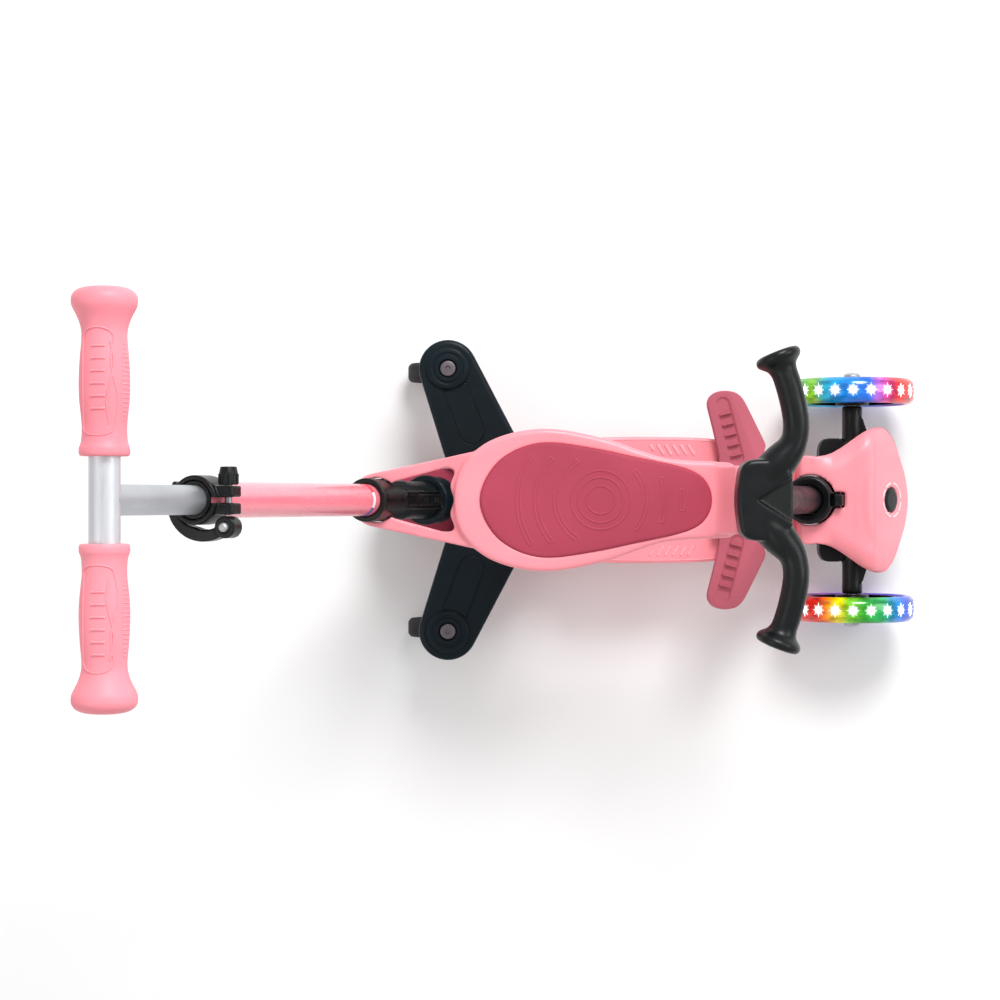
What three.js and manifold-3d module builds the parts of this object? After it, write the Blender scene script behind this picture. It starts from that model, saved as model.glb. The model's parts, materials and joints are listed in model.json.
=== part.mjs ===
// Toddler kick scooter in ride-on mode: a lean-to-steer deck with a plug-in seat, a toddler
// handlebar, folding footrests, rear outriggers with swivel casters, and a telescoping push bar.
// Millimetres. +X is forward, +Y is left, +Z is up, and the wheels stand on Z = 0.
import * as THREE from 'three';
import { mergeVertices } from 'three/addons/utils/BufferGeometryUtils.js';
import Module from 'manifold-3d';

const wasm = await Module();
wasm.setup();

// ---- driving dimensions ----
const GAP = 0.4;
const AXLE_R = 4;
const AXLE_BORE = 4.4;
const PIN_R = 3;
const PIN_BORE = 3.4;

const FRONT_AXLE_X = 291.4;
const FRONT_WHEEL_R = 60.5;
const FRONT_WHEEL_W = 26;
const FRONT_TRACK_HALF = 105;
const STEER_TILT = THREE.MathUtils.degToRad(40);
const STEER_X = 272;

const REAR_AXLE_X = -127;
const REAR_AXLE_Z = 44.5;
const REAR_WHEEL_R = 40;
const REAR_WHEEL_W = 24;

const DECK_TOP = 94;
const DECK_REAR_TOP = 70.5;
const YOKE_BOTTOM = 71;
const YOKE_TOP = 96;

const CASTER_X = -102;
const CASTER_Y = 126;
const CASTER_TRAIL = 16;
const CASTER_WHEEL_R = 25;
const SCREW_BORE = 4.5;

const SEAT_BOTTOM = 240;
const SEAT_TOP = 254;

const POST_FOOT = new THREE.Vector3(240, 0, 125);
const POST_TILT = THREE.MathUtils.degToRad(16.8);
const POST_R = 13;
const SOCKET_R = 22.5;

const BAR_FOOT = new THREE.Vector3(-123.5, 0, 133);
const BAR_TILT = THREE.MathUtils.degToRad(20.97);
const OUTER_TUBE_R = 14.2;
const STEM_R = 11.2;
const CLAMP_TOP = 446;
const CROSSBAR_Z = 573;
const GRIP_END = 149.5;
const GRIP_START = 30.5;

// ---- materials ----
const PINK = { color: 0xfca5af, roughness: 0.42, metalness: 0 };
const DARK_PINK = { color: 0xcd5a70, roughness: 0.6, metalness: 0 };
const SOFT_PINK = { color: 0xfba0aa, roughness: 0.55, metalness: 0 };
const BLACK = { color: 0x1c2326, roughness: 0.4, metalness: 0 };
const GLOSS_BLACK = { color: 0x14181a, roughness: 0.2, metalness: 0.2 };
const ALUMINIUM = { color: 0xc8cace, roughness: 0.3, metalness: 0.9 };
const STEEL = { color: 0x9a9ca0, roughness: 0.35, metalness: 0.9 };
const WHEEL_CLEAR = { color: 0x58c4e0, roughness: 0.2, metalness: 0 };
const RUBBER = { color: 0x2a2a2c, roughness: 0.8, metalness: 0 };

// ---- solids ----
// Flips a closed geometry whose faces point in, and drops triangles of no area.
function tidyFaces(geometry) {
  const bare = geometry.clone();
  bare.deleteAttribute('normal');
  bare.deleteAttribute('uv');
  const merged = mergeVertices(bare, 1e-4);
  const place = merged.attributes.position;
  const kept = [];
  const corner = [new THREE.Vector3(), new THREE.Vector3(), new THREE.Vector3()];
  let volume = 0;
  for (let i = 0; i < merged.index.count; i += 3) {
    const ids = [0, 1, 2].map((k) => merged.index.getX(i + k));
    if (ids[0] === ids[1] || ids[1] === ids[2] || ids[2] === ids[0]) continue;
    ids.forEach((id, k) => corner[k].fromBufferAttribute(place, id));
    volume += corner[0].dot(corner[1].cross(corner[2]));
    kept.push(ids);
  }
  const order = volume < 0 ? kept.map(([a, b, c]) => [a, c, b]) : kept;
  return { vertices: new Float32Array(place.array), triangles: new Uint32Array(order.flat()) };
}

function toSolid(geometry) {
  const { vertices, triangles } = tidyFaces(geometry);
  const mesh = new wasm.Mesh({ numProp: 3, vertProperties: vertices, triVerts: triangles });
  return new wasm.Manifold(mesh);
}

function toGeometry(solid) {
  const mesh = solid.getMesh();
  const geometry = new THREE.BufferGeometry();
  geometry.setAttribute('position', new THREE.BufferAttribute(mesh.vertProperties, 3));
  geometry.setIndex(new THREE.BufferAttribute(mesh.triVerts, 1));
  geometry.computeVertexNormals();
  return geometry;
}

const union = (first, ...rest) => rest.reduce((sum, next) => sum.add(next), first);
const cut = (first, ...rest) => rest.reduce((left, next) => left.subtract(next), first);

// ---- shape helpers: every one returns a manifold solid ----
function block(x0, x1, y0, y1, z0, z1) {
  const geometry = new THREE.BoxGeometry(x1 - x0, y1 - y0, z1 - z0);
  geometry.translate((x0 + x1) / 2, (y0 + y1) / 2, (z0 + z1) / 2);
  return toSolid(geometry);
}

function rod(radius, start, end, sides = 16) {
  const from = new THREE.Vector3(...start);
  const along = new THREE.Vector3(...end).sub(from);
  const geometry = new THREE.CylinderGeometry(radius, radius, along.length(), sides);
  geometry.translate(0, along.length() / 2, 0);
  geometry.applyQuaternion(new THREE.Quaternion().setFromUnitVectors(
    new THREE.Vector3(0, 1, 0), along.normalize()));
  geometry.translate(from.x, from.y, from.z);
  return toSolid(geometry);
}

// Profile points are [radius, height]; the solid turns about +Z.
function turned(profile, sides = 20) {
  const geometry = new THREE.LatheGeometry(profile.map(([r, h]) => new THREE.Vector2(r, h)), sides);
  geometry.rotateX(Math.PI / 2);
  return toSolid(geometry);
}

function ring(outer, inner, z0, z1, sides = 20) {
  return turned([[inner, z0], [outer, z0], [outer, z1], [inner, z1], [inner, z0]], sides);
}

// A turned solid laid along Y at (x, y, z); side is +1 for profiles that grow towards +Y.
function turnedAlongY(profile, x, y, z, side = 1, sides = 20) {
  const geometry = new THREE.LatheGeometry(profile.map(([r, h]) => new THREE.Vector2(r, h)), sides);
  if (side < 0) geometry.rotateX(Math.PI);
  geometry.translate(x, y, z);
  return toSolid(geometry);
}

function plateFromShape(shape, z0, z1, bevel, curveSegments = 8) {
  const geometry = new THREE.ExtrudeGeometry(shape, {
    depth: z1 - z0 - 2 * bevel,
    bevelEnabled: bevel > 0,
    bevelThickness: bevel,
    bevelSize: bevel,
    bevelOffset: -bevel,
    bevelSegments: 1,
    curveSegments,
  });
  geometry.translate(0, 0, z0 + bevel);
  return toSolid(geometry);
}

function plate(points, z0, z1, bevel = 0) {
  return plateFromShape(new THREE.Shape(points.map(([x, y]) => new THREE.Vector2(x, y))), z0, z1, bevel);
}

// A side view outline of [x, z] points, pulled along Y.
function sidePlate(points, y0, y1) {
  const geometry = new THREE.ExtrudeGeometry(
    new THREE.Shape(points.map(([x, z]) => new THREE.Vector2(x, z))),
    { depth: y1 - y0, bevelEnabled: false });
  geometry.rotateX(Math.PI / 2);
  geometry.translate(0, y1, 0);
  return toSolid(geometry);
}

// Closed, left-right even outline from the half that is drawn: [x, half width], both ends on Y = 0.
function evenOutline(half, count = 28, grow = 0) {
  const left = half.map(([x, y]) => new THREE.Vector3(x, y, 0));
  const right = half.slice(1, -1).reverse().map(([x, y]) => new THREE.Vector3(x, -y, 0));
  const curve = new THREE.CatmullRomCurve3([...left, ...right], true, 'centripetal');
  const points = curve.getPoints(count * 2).slice(0, -1);
  const shift = points.map((point, i) => {
    const along = new THREE.Vector3().subVectors(
      points[(i + 1) % points.length], points[(i - 1 + points.length) % points.length]).normalize();
    return new THREE.Vector3(-along.y, along.x, 0);
  });
  return points.map((point, i) => [point.x + shift[i].x * grow, point.y + shift[i].y * grow]);
}

const mirrorPoints = (points) => points.map(([x, y]) => [x, -y]).reverse();

// ---- scene graph ----
const group = new THREE.Group();

function tiltedGroup(foot, tilt) {
  const inner = new THREE.Group();
  inner.position.copy(foot);
  inner.rotation.y = -tilt;
  group.add(inner);
  return inner;
}

function addPiece(parent, name, solid, look) {
  const mesh = new THREE.Mesh(toGeometry(solid), new THREE.MeshStandardMaterial(look));
  mesh.name = name;
  parent.add(mesh);
  return mesh;
}

const postGroup = tiltedGroup(POST_FOOT, POST_TILT);
const barGroup = tiltedGroup(BAR_FOOT, BAR_TILT);

// A point on a tilted axis, at a height along that axis from its foot.
function onAxis(foot, tilt, along) {
  return [foot.x - Math.sin(tilt) * along, 0, foot.z + Math.cos(tilt) * along];
}
const onPost = (along) => onAxis(POST_FOOT, POST_TILT, along);
const onBar = (along) => onAxis(BAR_FOOT, BAR_TILT, along);
const SIDES = [['left', 1], ['right', -1]];

// ---- deck ----
const FENDER_PIN = [-81, 66];
const releaseClearance = block(10, 32.8, -7.4, 7.4, -15, 14)
  .rotate([0, -THREE.MathUtils.radToDeg(POST_TILT), 0]).translate(POST_FOOT.toArray());
const SOCKET_CLEARANCE = union(rod(SOCKET_R + 1.2, onPost(-64), onPost(12), 20), releaseClearance);

function deck() {
  const outline = evenOutline([[-92, 0], [-90, 30], [-70, 44], [-30, 54], [40, 60], [111, 60.5],
    [150, 59], [180, 54], [206, 46.5], [236, 42], [262, 41], [264, 0]], 18);
  const side = [[-76, 44], [-76, DECK_REAR_TOP], [12, DECK_REAR_TOP], [16, DECK_TOP],
    [230, DECK_TOP], [235.5, 90], [235.5, 68], [215, 62], [60, 60], [-40, 50]];
  const legs = [1, -1].map((s) => union(
    block(-141, -60, Math.min(s * 16.5, s * 27), Math.max(s * 16.5, s * 27), 35, 54),
    block(-88, -60, Math.min(s * 31.8, s * 37), Math.max(s * 31.8, s * 37), 50, 70),
    block(-78, -60, Math.min(s * 20, s * 37), Math.max(s * 20, s * 37), 46, 56)));
  const body = union(plate(outline, 40, 100).intersect(sidePlate(side, -64, 64)), ...legs);
  const pockets = [[-58, 4, 34, 64], [24, 84, 50, 88], [90, 150, 50, 88], [156, 212, 38, 88]];
  return cut(body, block(-80, -74.2, -31.6, 31.6, 57, 72),
    ...pockets.map(([x0, x1, half, top]) => block(x0, x1, -half, half, 30, top)),
    rod(AXLE_BORE, [REAR_AXLE_X, -40, REAR_AXLE_Z], [REAR_AXLE_X, 40, REAR_AXLE_Z]),
    rod(PIN_BORE, [FENDER_PIN[0], -40, FENDER_PIN[1]], [FENDER_PIN[0], 40, FENDER_PIN[1]]),
    SOCKET_CLEARANCE);
}
addPiece(group, 'deck', deck(), PINK);

// ---- nose: cover, inner housing and steering lock ----
const NOSE_HALF = [[232, 0], [236, 41.5], [250, 41.8], [263, 44.8], [276, 52.5], [294, 65], [307, 69.6],
  [317, 68.4], [325, 60], [334, 41], [341, 21], [344, 0]];
const LOCK_SLOPE = THREE.MathUtils.degToRad(50);
const LOCK_CENTRE = [323.2, 0, 97.6];
const LOCK_R = 11.7;
const lockPoint = (out) => [LOCK_CENTRE[0] + Math.sin(LOCK_SLOPE) * out, 0,
  LOCK_CENTRE[2] + Math.cos(LOCK_SLOPE) * out];

function noseSide(inset) {
  return [[236 + inset, 84 - inset], [236 + inset, 114 - inset], [262, 121 - inset], [292, 124.6 - inset],
    [302 - inset / 2, 123.5 - inset], [346 - inset * 1.2, 71 - inset], [346 - inset * 1.2, 68 - inset],
    [332 - inset, 68 - inset], [320 - inset, 84 - inset]];
}

function noseCover() {
  const outer = plate(evenOutline(NOSE_HALF, 19), 60, 130)
    .intersect(sidePlate(noseSide(0), -76, 76));
  const inner = plate(evenOutline(NOSE_HALF, 19, -4), 60, 130)
    .intersect(sidePlate(noseSide(4.5), -76, 76));
  return cut(outer, inner, SOCKET_CLEARANCE, rod(LOCK_R + 0.5, lockPoint(-14), lockPoint(14), 24));
}

addPiece(group, 'nose_cover', noseCover(), PINK);
addPiece(group, 'steering_lock_button', rod(LOCK_R, lockPoint(-9), lockPoint(1.2), 24), BLACK);

const steerPoint = (along) => [STEER_X + Math.sin(STEER_TILT) * along, 0,
  FRONT_WHEEL_R + Math.cos(STEER_TILT) * along];
const SPRING_PLACE = [284, 24];

function frontHousing() {
  const pockets = SIDES.map(([, s]) => rod(11, [SPRING_PLACE[0], s * SPRING_PLACE[1], 80],
    [SPRING_PLACE[0], s * SPRING_PLACE[1], 93]));
  return cut(block(264, 303, -37, 37, 86, 110), ...pockets, SOCKET_CLEARANCE,
    rod(5.5, steerPoint(5), steerPoint(44)));
}
addPiece(group, 'front_housing', frontHousing(), BLACK);

// ---- axle truck and front wheels ----
function axleTruck() {
  const half = [[258, 0], [258, 52], [262, 58.5], [266, 60], [279, 60], [283, 57], [286, 46], [292, 46],
    [292, 80], [300.5, 80], [305, 66], [307, 42], [312, 26]];
  const outline = [...half, ...mirrorPoints(half.slice(1))];
  const sleeve = rod(9.75, [FRONT_AXLE_X, -91.5, FRONT_WHEEL_R], [FRONT_AXLE_X, 91.5, FRONT_WHEEL_R]);
  return cut(union(plate(outline, 52, 69, 2), sleeve, rod(11, steerPoint(-14), steerPoint(14))),
    rod(AXLE_BORE, [FRONT_AXLE_X, -99, FRONT_WHEEL_R], [FRONT_AXLE_X, 99, FRONT_WHEEL_R]),
    rod(5.4, steerPoint(-30), steerPoint(30)));
}
addPiece(group, 'axle_truck', axleTruck(), BLACK);

function kingpinBolt() {
  return union(rod(8, steerPoint(-20), steerPoint(-14.5), 6), rod(5, steerPoint(-17), steerPoint(42)));
}
addPiece(group, 'kingpin_bolt', kingpinBolt(), STEEL);

function returnSpring(s) {
  const solid = turned([[0, 70.7], [5.4, 70.7], [6.2, 73], [5.2, 75], [6.2, 77.5], [5.2, 80],
    [6.2, 82.5], [5.4, 85.4], [0, 85.4]], 14);
  return solid.translate([SPRING_PLACE[0], s * SPRING_PLACE[1], 0]);
}
for (const [name, s] of SIDES) addPiece(group, `return_spring_${name}`, returnSpring(s), RUBBER);

addPiece(group, 'front_axle', rod(AXLE_R, [FRONT_AXLE_X, -118.6, FRONT_WHEEL_R],
  [FRONT_AXLE_X, 118.6, FRONT_WHEEL_R], 16), STEEL);

// Rounded tyre section: a closed loop from the bead, over the crown and back.
function tyreProfile(radius, halfWidth, bead) {
  return [[bead, -halfWidth * 0.8], [bead + 5, -halfWidth], [radius - 2, -halfWidth * 0.68],
    [radius, -halfWidth * 0.25], [radius, halfWidth * 0.25], [radius - 2, halfWidth * 0.68],
    [bead + 5, halfWidth], [bead, halfWidth * 0.8], [bead, -halfWidth * 0.8]];
}

function rimProfile(radius, halfWidth, bore) {
  return [[bore, -halfWidth], [bore + 6, -halfWidth], [bore + 8, -5], [radius - 6, -5],
    [radius, -halfWidth * 0.75], [radius, halfWidth * 0.75], [radius - 6, 5], [bore + 8, 5],
    [bore + 6, halfWidth], [bore, halfWidth], [bore, -halfWidth]];
}

const AXLE_CAP = [[0, 0], [8, 0], [8, 3], [5, 5], [0, 5]];
const BEARING = [[4.5, -12], [8.3, -12], [8.3, 12], [4.5, 12], [4.5, -12]];
for (const [name, s] of SIDES) {
  const y = s * FRONT_TRACK_HALF;
  const half = FRONT_WHEEL_W / 2;
  const place = [FRONT_AXLE_X, y, FRONT_WHEEL_R, 1, 28];
  addPiece(group, `front_tyre_${name}`,
    turnedAlongY(tyreProfile(FRONT_WHEEL_R, half, 50.2), ...place), WHEEL_CLEAR);
  addPiece(group, `front_rim_${name}`, turnedAlongY(rimProfile(49.7, half, 8.8), ...place), BLACK);
  addPiece(group, `front_bearing_${name}`,
    turnedAlongY(BEARING, FRONT_AXLE_X, y, FRONT_WHEEL_R, 1, 10), STEEL);
  addPiece(group, `axle_cap_${name}`,
    turnedAlongY(AXLE_CAP, FRONT_AXLE_X, s * 119, FRONT_WHEEL_R, s, 16), ALUMINIUM);
}

// ---- front socket, post and toddler handlebar ----
function frontSocket() {
  const body = union(ring(SOCKET_R, POST_R + 0.5, -50, 2, 20), ring(SOCKET_R + 0.5, POST_R + 0.5, -3, 3, 20),
    block(19, 26, -7, 7, -14, -5));
  return cut(body, block(20.5, 40, -5.7, 5.7, -12.5, 4));
}
addPiece(postGroup, 'front_socket_collar', frontSocket(), BLACK);
addPiece(postGroup, 'socket_release_button', block(24, 32, -5.3, 5.3, -12, 0.5), BLACK);
addPiece(postGroup, 'front_post', ring(POST_R, POST_R - 2.5, -48, 224, 24), GLOSS_BLACK);

const BAR_R = 11.4;
const BAR_END_R = 19.8;
const PIN_X = 162;
const PIN_Z = 306;
function handlebar() {
  const hub = plate(evenOutline([[147, 0], [148.5, 16], [151, 28], [157, 33.5], [172, 34.5], [186, 32],
    [194, 23], [195.5, 11], [195.3, 0]], 10), 328, 362, 3);
  const cheeks = SIDES.map(([, s]) => sidePlate([[155.3, 299], [151, 340], [176, 340], [169.5, 299]],
    Math.min(s * 20.6, s * 28.6), Math.max(s * 20.6, s * 28.6)));
  const arms = SIDES.map(([, s]) => {
    const path = new THREE.CatmullRomCurve3([[170, 15, 345], [184, 32, 348.5], [194.5, 46, 350.5],
      [197.8, 61, 351.3], [196, 78, 351.3], [190.5, 100, 350], [181.4, 124.6, 348]]
      .map(([x, y, z]) => new THREE.Vector3(x, y * s, z)));
    const section = new THREE.Shape().absarc(0, 0, BAR_R, 0, Math.PI * 2, false);
    const tube = new THREE.ExtrudeGeometry(section, { extrudePath: path, steps: 9, curveSegments: 5 });
    const end = path.getPoint(1);
    const back = end.clone().addScaledVector(path.getTangent(1), -8);
    return union(toSolid(tube), rod(BAR_END_R, back.toArray(), end.toArray(), 16));
  });
  const recess = plate([[164, 0], [202, -25], [202, 25]], 350, 380);
  return cut(union(hub, ...cheeks, ...arms), rod(POST_R + 0.4, onPost(150), onPost(226), 24), recess,
    rod(AXLE_BORE, [PIN_X, -40, PIN_Z], [PIN_X, 40, PIN_Z], 16));
}
addPiece(group, 'handlebar', handlebar(), BLACK);
const pinHeads = SIDES.map(([, s]) => rod(6.5, [PIN_X, s * 28.9, PIN_Z], [PIN_X, s * 31.5, PIN_Z], 16));
const pinShank = rod(AXLE_R, [PIN_X, -31, PIN_Z], [PIN_X, 31, PIN_Z], 16);
addPiece(group, 'handlebar_pin', union(pinShank, ...pinHeads), STEEL);

// ---- seat ----
const SEAT_HALF = [[-93, 0], [-87, 28], [-64, 51], [-16.5, 63.5], [42, 54.5], [70, 45], [92, 38],
  [118, 35], [142, 34], [156, 31], [160, 0]];
const PAD_HALF = [[-70, 0], [-66.5, 15], [-57, 30.5], [-47, 39.4], [-31, 47.4], [-10, 51.2], [31, 46],
  [67, 38.4], [104, 30.6], [118, 26], [127.5, 20], [133.8, 11], [136, 0]];
const TAIL_RING_Z = 233;
const TAIL_RING_X = BAR_FOOT.x - (TAIL_RING_Z - BAR_FOOT.z) * Math.tan(BAR_TILT);
const SLEEVE_CLEARANCE = rod(20.4, onBar(60), onBar(150), 20);

function seatTail() {
  const back = [];
  for (let i = 0; i <= 8; i += 1) {
    const angle = Math.PI * (0.55 + 0.9 * (i / 8));
    back.push([TAIL_RING_X + 24.5 * Math.cos(angle), 24.5 * Math.sin(angle)]);
  }
  const outline = plate([[-40, -44], [-40, 44], [-74, 43.5], ...back, [-74, -43.5]], 215, 262);
  const side = [[-195, 227], [-195, 236], [-112, 238], [-80, 249], [-40, 250], [-40, 242], [-90, 230],
    [-120, 227]];
  const opening = plate([[-150, 15], [-150, -15], [-99, -28.5], [-94, -24], [-94, 24], [-99, 28.5]],
    215, 262);
  return cut(outline.intersect(sidePlate(side, -50, 50)), opening);
}

function seatShell() {
  const neck = union(block(153, 168.2, -20, 20, 290, 306),
    sidePlate([[136, 241], [136, SEAT_TOP - 1], [141, SEAT_TOP + 3], [146.5, SEAT_TOP + 12],
      [150.5, SEAT_TOP + 26], [152, 298], [170.3, 298], [170.3, 241]], -30, 30));
  const eye = rod(10.5, [PIN_X, -20, PIN_Z], [PIN_X, 20, PIN_Z], 20)
    .intersect(block(140, 168.2, -21, 21, 280, 330));
  const bowl = plate(evenOutline(SEAT_HALF, 18), SEAT_BOTTOM, SEAT_TOP, 3.5);
  return cut(union(bowl, seatTail(), neck, eye),
    plate(evenOutline(PAD_HALF, 14, 0.7), SEAT_TOP - 5, SEAT_TOP + 20),
    rod(AXLE_BORE, [PIN_X, -30, PIN_Z], [PIN_X, 30, PIN_Z], 16), SLEEVE_CLEARANCE);
}
addPiece(group, 'seat_shell', seatShell(), PINK);
addPiece(group, 'seat_pad', plate(evenOutline(PAD_HALF, 14), SEAT_TOP - 4.6, SEAT_TOP + 5, 2.5), DARK_PINK);

const PILLAR_X = -14;
const pillar = turned([[0, 0], [26, 0], [26, 5], [18, 14], [16, 60], [18, 126], [26, 137], [26, 143],
  [0, 143]], 16).translate([PILLAR_X, 0, YOKE_TOP + GAP]);
addPiece(group, 'seat_pillar', pillar, BLACK);

// ---- footrests ----
const REST_PIN_Y = 30;
const REST_PIN_Z = 101;
const REST_REAR = 157;
const REST_FRONT = 200.5;
const restRod = (radius, s, beyond, sides) => rod(radius, [REST_REAR - beyond, s * REST_PIN_Y, REST_PIN_Z],
  [REST_FRONT + beyond, s * REST_PIN_Y, REST_PIN_Z], sides);

function footrestMount() {
  const bottom = DECK_TOP + GAP;
  const lugs = SIDES.flatMap(([, s]) => [[REST_REAR - 5, REST_REAR - 0.5], [REST_FRONT + 0.5, REST_FRONT + 5]]
    .map(([x0, x1]) => block(x0, x1, Math.min(s * 18, s * 35), Math.max(s * 18, s * 35), bottom, 107)));
  const base = block(REST_REAR - 5, REST_FRONT + 5, -23, 23, bottom, 105);
  return cut(union(base, ...lugs), ...SIDES.map(([, s]) => restRod(PIN_BORE, s, 16, 14)));
}
addPiece(group, 'footrest_mount', footrestMount(), DARK_PINK);

function footrest(s) {
  const half = [[REST_REAR, 28], [REST_REAR, 41], [152.1, 64], [144.9, 92], [147.2, 99.2], [153.1, 103.5],
    [162, 105], [172.5, 103.7], [178.6, 99.8], [182.6, 94], [191.1, 77], [203.5, 52], [REST_FRONT, 46],
    [REST_FRONT, 28]];
  const points = s > 0 ? half : mirrorPoints(half);
  const knuckle = restRod(6, s, 0, 16);
  return cut(union(plate(points, 97, 107, 2), knuckle), restRod(PIN_BORE, s, 16, 14));
}
for (const [name, s] of SIDES) {
  addPiece(group, `footrest_${name}`, footrest(s), DARK_PINK);
  addPiece(group, `footrest_pin_${name}`, restRod(PIN_R, s, 5.6, 12), STEEL);
}

// ---- rear yoke with its bar socket, and the casters ----
function armOutline(s, grow) {
  const tip = [];
  for (let i = 0; i <= 8; i += 1) {
    const angle = THREE.MathUtils.degToRad(28 + 165 * (i / 8));
    tip.push([CASTER_X + (28 + grow) * Math.cos(angle), CASTER_Y + (28 + grow) * Math.sin(angle)]);
  }
  const half = [[-38 + grow, 64], ...tip, [-105 - grow, 41]];
  return s > 0 ? half : mirrorPoints(half);
}

function rearYoke() {
  const core = [[12, 26], [-10, 52], [-38, 64], [-105, 41], [-101, 35], [-74, 35]];
  const outline = [...core, ...mirrorPoints(core)];
  const arms = SIDES.map(([, s]) => plate(armOutline(s, 0), YOKE_BOTTOM, YOKE_TOP, 3));
  const bridge = sidePlate([[-112, 99], [-112, 122], [-80, 112], [-60, YOKE_TOP - 2], [-60, 80],
    [-73.5, 80], [-75, 96]], -15, 15);
  const socket = union(rod(SOCKET_R, onBar(-31), onBar(0), 20), rod(SOCKET_R + 1.2, onBar(-5), onBar(0), 20));
  const wells = SIDES.map(([, s]) => {
    const half = [[-62, 66], [-86, 112], [-104, 100], [-92, 56]];
    return plate(s > 0 ? half : mirrorPoints(half), 60, 91);
  });
  const screws = SIDES.map(([, s]) => rod(SCREW_BORE, [CASTER_X, s * CASTER_Y, 60],
    [CASTER_X, s * CASTER_Y, 110], 16));
  return cut(union(plate(outline, YOKE_BOTTOM, YOKE_TOP, 2), ...arms, bridge, socket),
    rod(15.6, onBar(-28), onBar(10), 20), ...wells, ...screws);
}
addPiece(group, 'rear_yoke', rearYoke(), BLACK);

for (const [name, s] of SIDES) {
  const y = s * CASTER_Y;
  const wheelX = CASTER_X - CASTER_TRAIL;
  addPiece(group, `arm_cap_${name}`,
    turned([[8.6, YOKE_TOP + GAP], [20.5, YOKE_TOP + GAP], [20.5, 98.5], [17.5, 100.5], [8.6, 100.5],
      [8.6, YOKE_TOP + GAP]], 16).translate([CASTER_X, y, 0]), BLACK);
  addPiece(group, `caster_screw_${name}`, turned([[0, 72 - 14], [4, 72 - 14], [4, YOKE_TOP + 0.3],
    [7.9, YOKE_TOP + 0.3], [7.9, 99.6], [0, 99.6]], 12).translate([CASTER_X, y, 0]), STEEL);
  const crownShape = new THREE.Shape().absellipse(-5, 0, 18, 15.5, 0, Math.PI * 2, false);
  const crown = plateFromShape(crownShape, 55, 70, 0, 6);
  const cheekSide = [[-24, 19], [-8, 19], [12, 56], [12, 60], [-20, 60], [-26, 30]];
  const cheeks = [1, -1].map((side) => sidePlate(cheekSide,
    Math.min(side * 12.2, side * 15.5), Math.max(side * 12.2, side * 15.5)));
  const fork = cut(union(crown, ...cheeks), rod(AXLE_BORE, [0, 0, 50], [0, 0, 80], 16),
    block(-60, 40, -12.2, 12.2, 0, 55.5),
    rod(PIN_BORE, [-CASTER_TRAIL, -20, CASTER_WHEEL_R], [-CASTER_TRAIL, 20, CASTER_WHEEL_R], 14));
  addPiece(group, `caster_fork_${name}`, fork.translate([CASTER_X, y, 0]), BLACK);
  addPiece(group, `caster_wheel_${name}`, turnedAlongY([[3.4, -11], [9, -11], [11, -9], [22, -9.5],
    [25, -6], [25, 6], [22, 9.5], [11, 9], [9, 11], [3.4, 11], [3.4, -11]],
  wheelX, y, CASTER_WHEEL_R, 1, 16), RUBBER);
  addPiece(group, `caster_axle_${name}`, rod(PIN_R, [wheelX, y - 16.5, CASTER_WHEEL_R],
    [wheelX, y + 16.5, CASTER_WHEEL_R], 12), STEEL);
}

// ---- rear wheel and foot brake ----
const rearPlace = [REAR_AXLE_X, 0, REAR_AXLE_Z, 1, 20];
addPiece(group, 'rear_tyre',
  turnedAlongY(tyreProfile(REAR_WHEEL_R, REAR_WHEEL_W / 2, 32.2), ...rearPlace), RUBBER);
addPiece(group, 'rear_rim', turnedAlongY(rimProfile(31.7, REAR_WHEEL_W / 2, 8.8), ...rearPlace), BLACK);
addPiece(group, 'rear_bearing', turnedAlongY(BEARING, REAR_AXLE_X, 0, REAR_AXLE_Z, 1, 10), STEEL);
addPiece(group, 'rear_axle',
  rod(AXLE_R, [REAR_AXLE_X, -28, REAR_AXLE_Z], [REAR_AXLE_X, 28, REAR_AXLE_Z], 16), STEEL);

function brakeFender() {
  const section = new THREE.Shape();
  const from = THREE.MathUtils.degToRad(27);
  const to = THREE.MathUtils.degToRad(150);
  section.absarc(0, 0, 47.5, from, to, false);
  section.absarc(0, 0, 43.3, to, from, true);
  const arch = new THREE.ExtrudeGeometry(section, { depth: 62, bevelEnabled: false, curveSegments: 12 });
  arch.rotateX(Math.PI / 2);
  arch.translate(REAR_AXLE_X, 31, REAR_AXLE_Z);
  const taper = plate([[-60, 30.5], [-120, 30.5], [-172, 24], [-176, 16], [-176, -16], [-172, -24],
    [-120, -30.5], [-60, -30.5]], 40, 100);
  const [px, pz] = FENDER_PIN;
  return cut(union(toSolid(arch).intersect(taper), rod(6, [px, -30.5, pz], [px, 30.5, pz], 16)),
    rod(PIN_BORE, [px, -40, pz], [px, 40, pz], 14));
}
addPiece(group, 'brake_fender', brakeFender(), DARK_PINK);
addPiece(group, 'brake_pin',
  rod(PIN_R, [FENDER_PIN[0], -36.5, FENDER_PIN[1]], [FENDER_PIN[0], 36.5, FENDER_PIN[1]], 12), STEEL);

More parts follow.
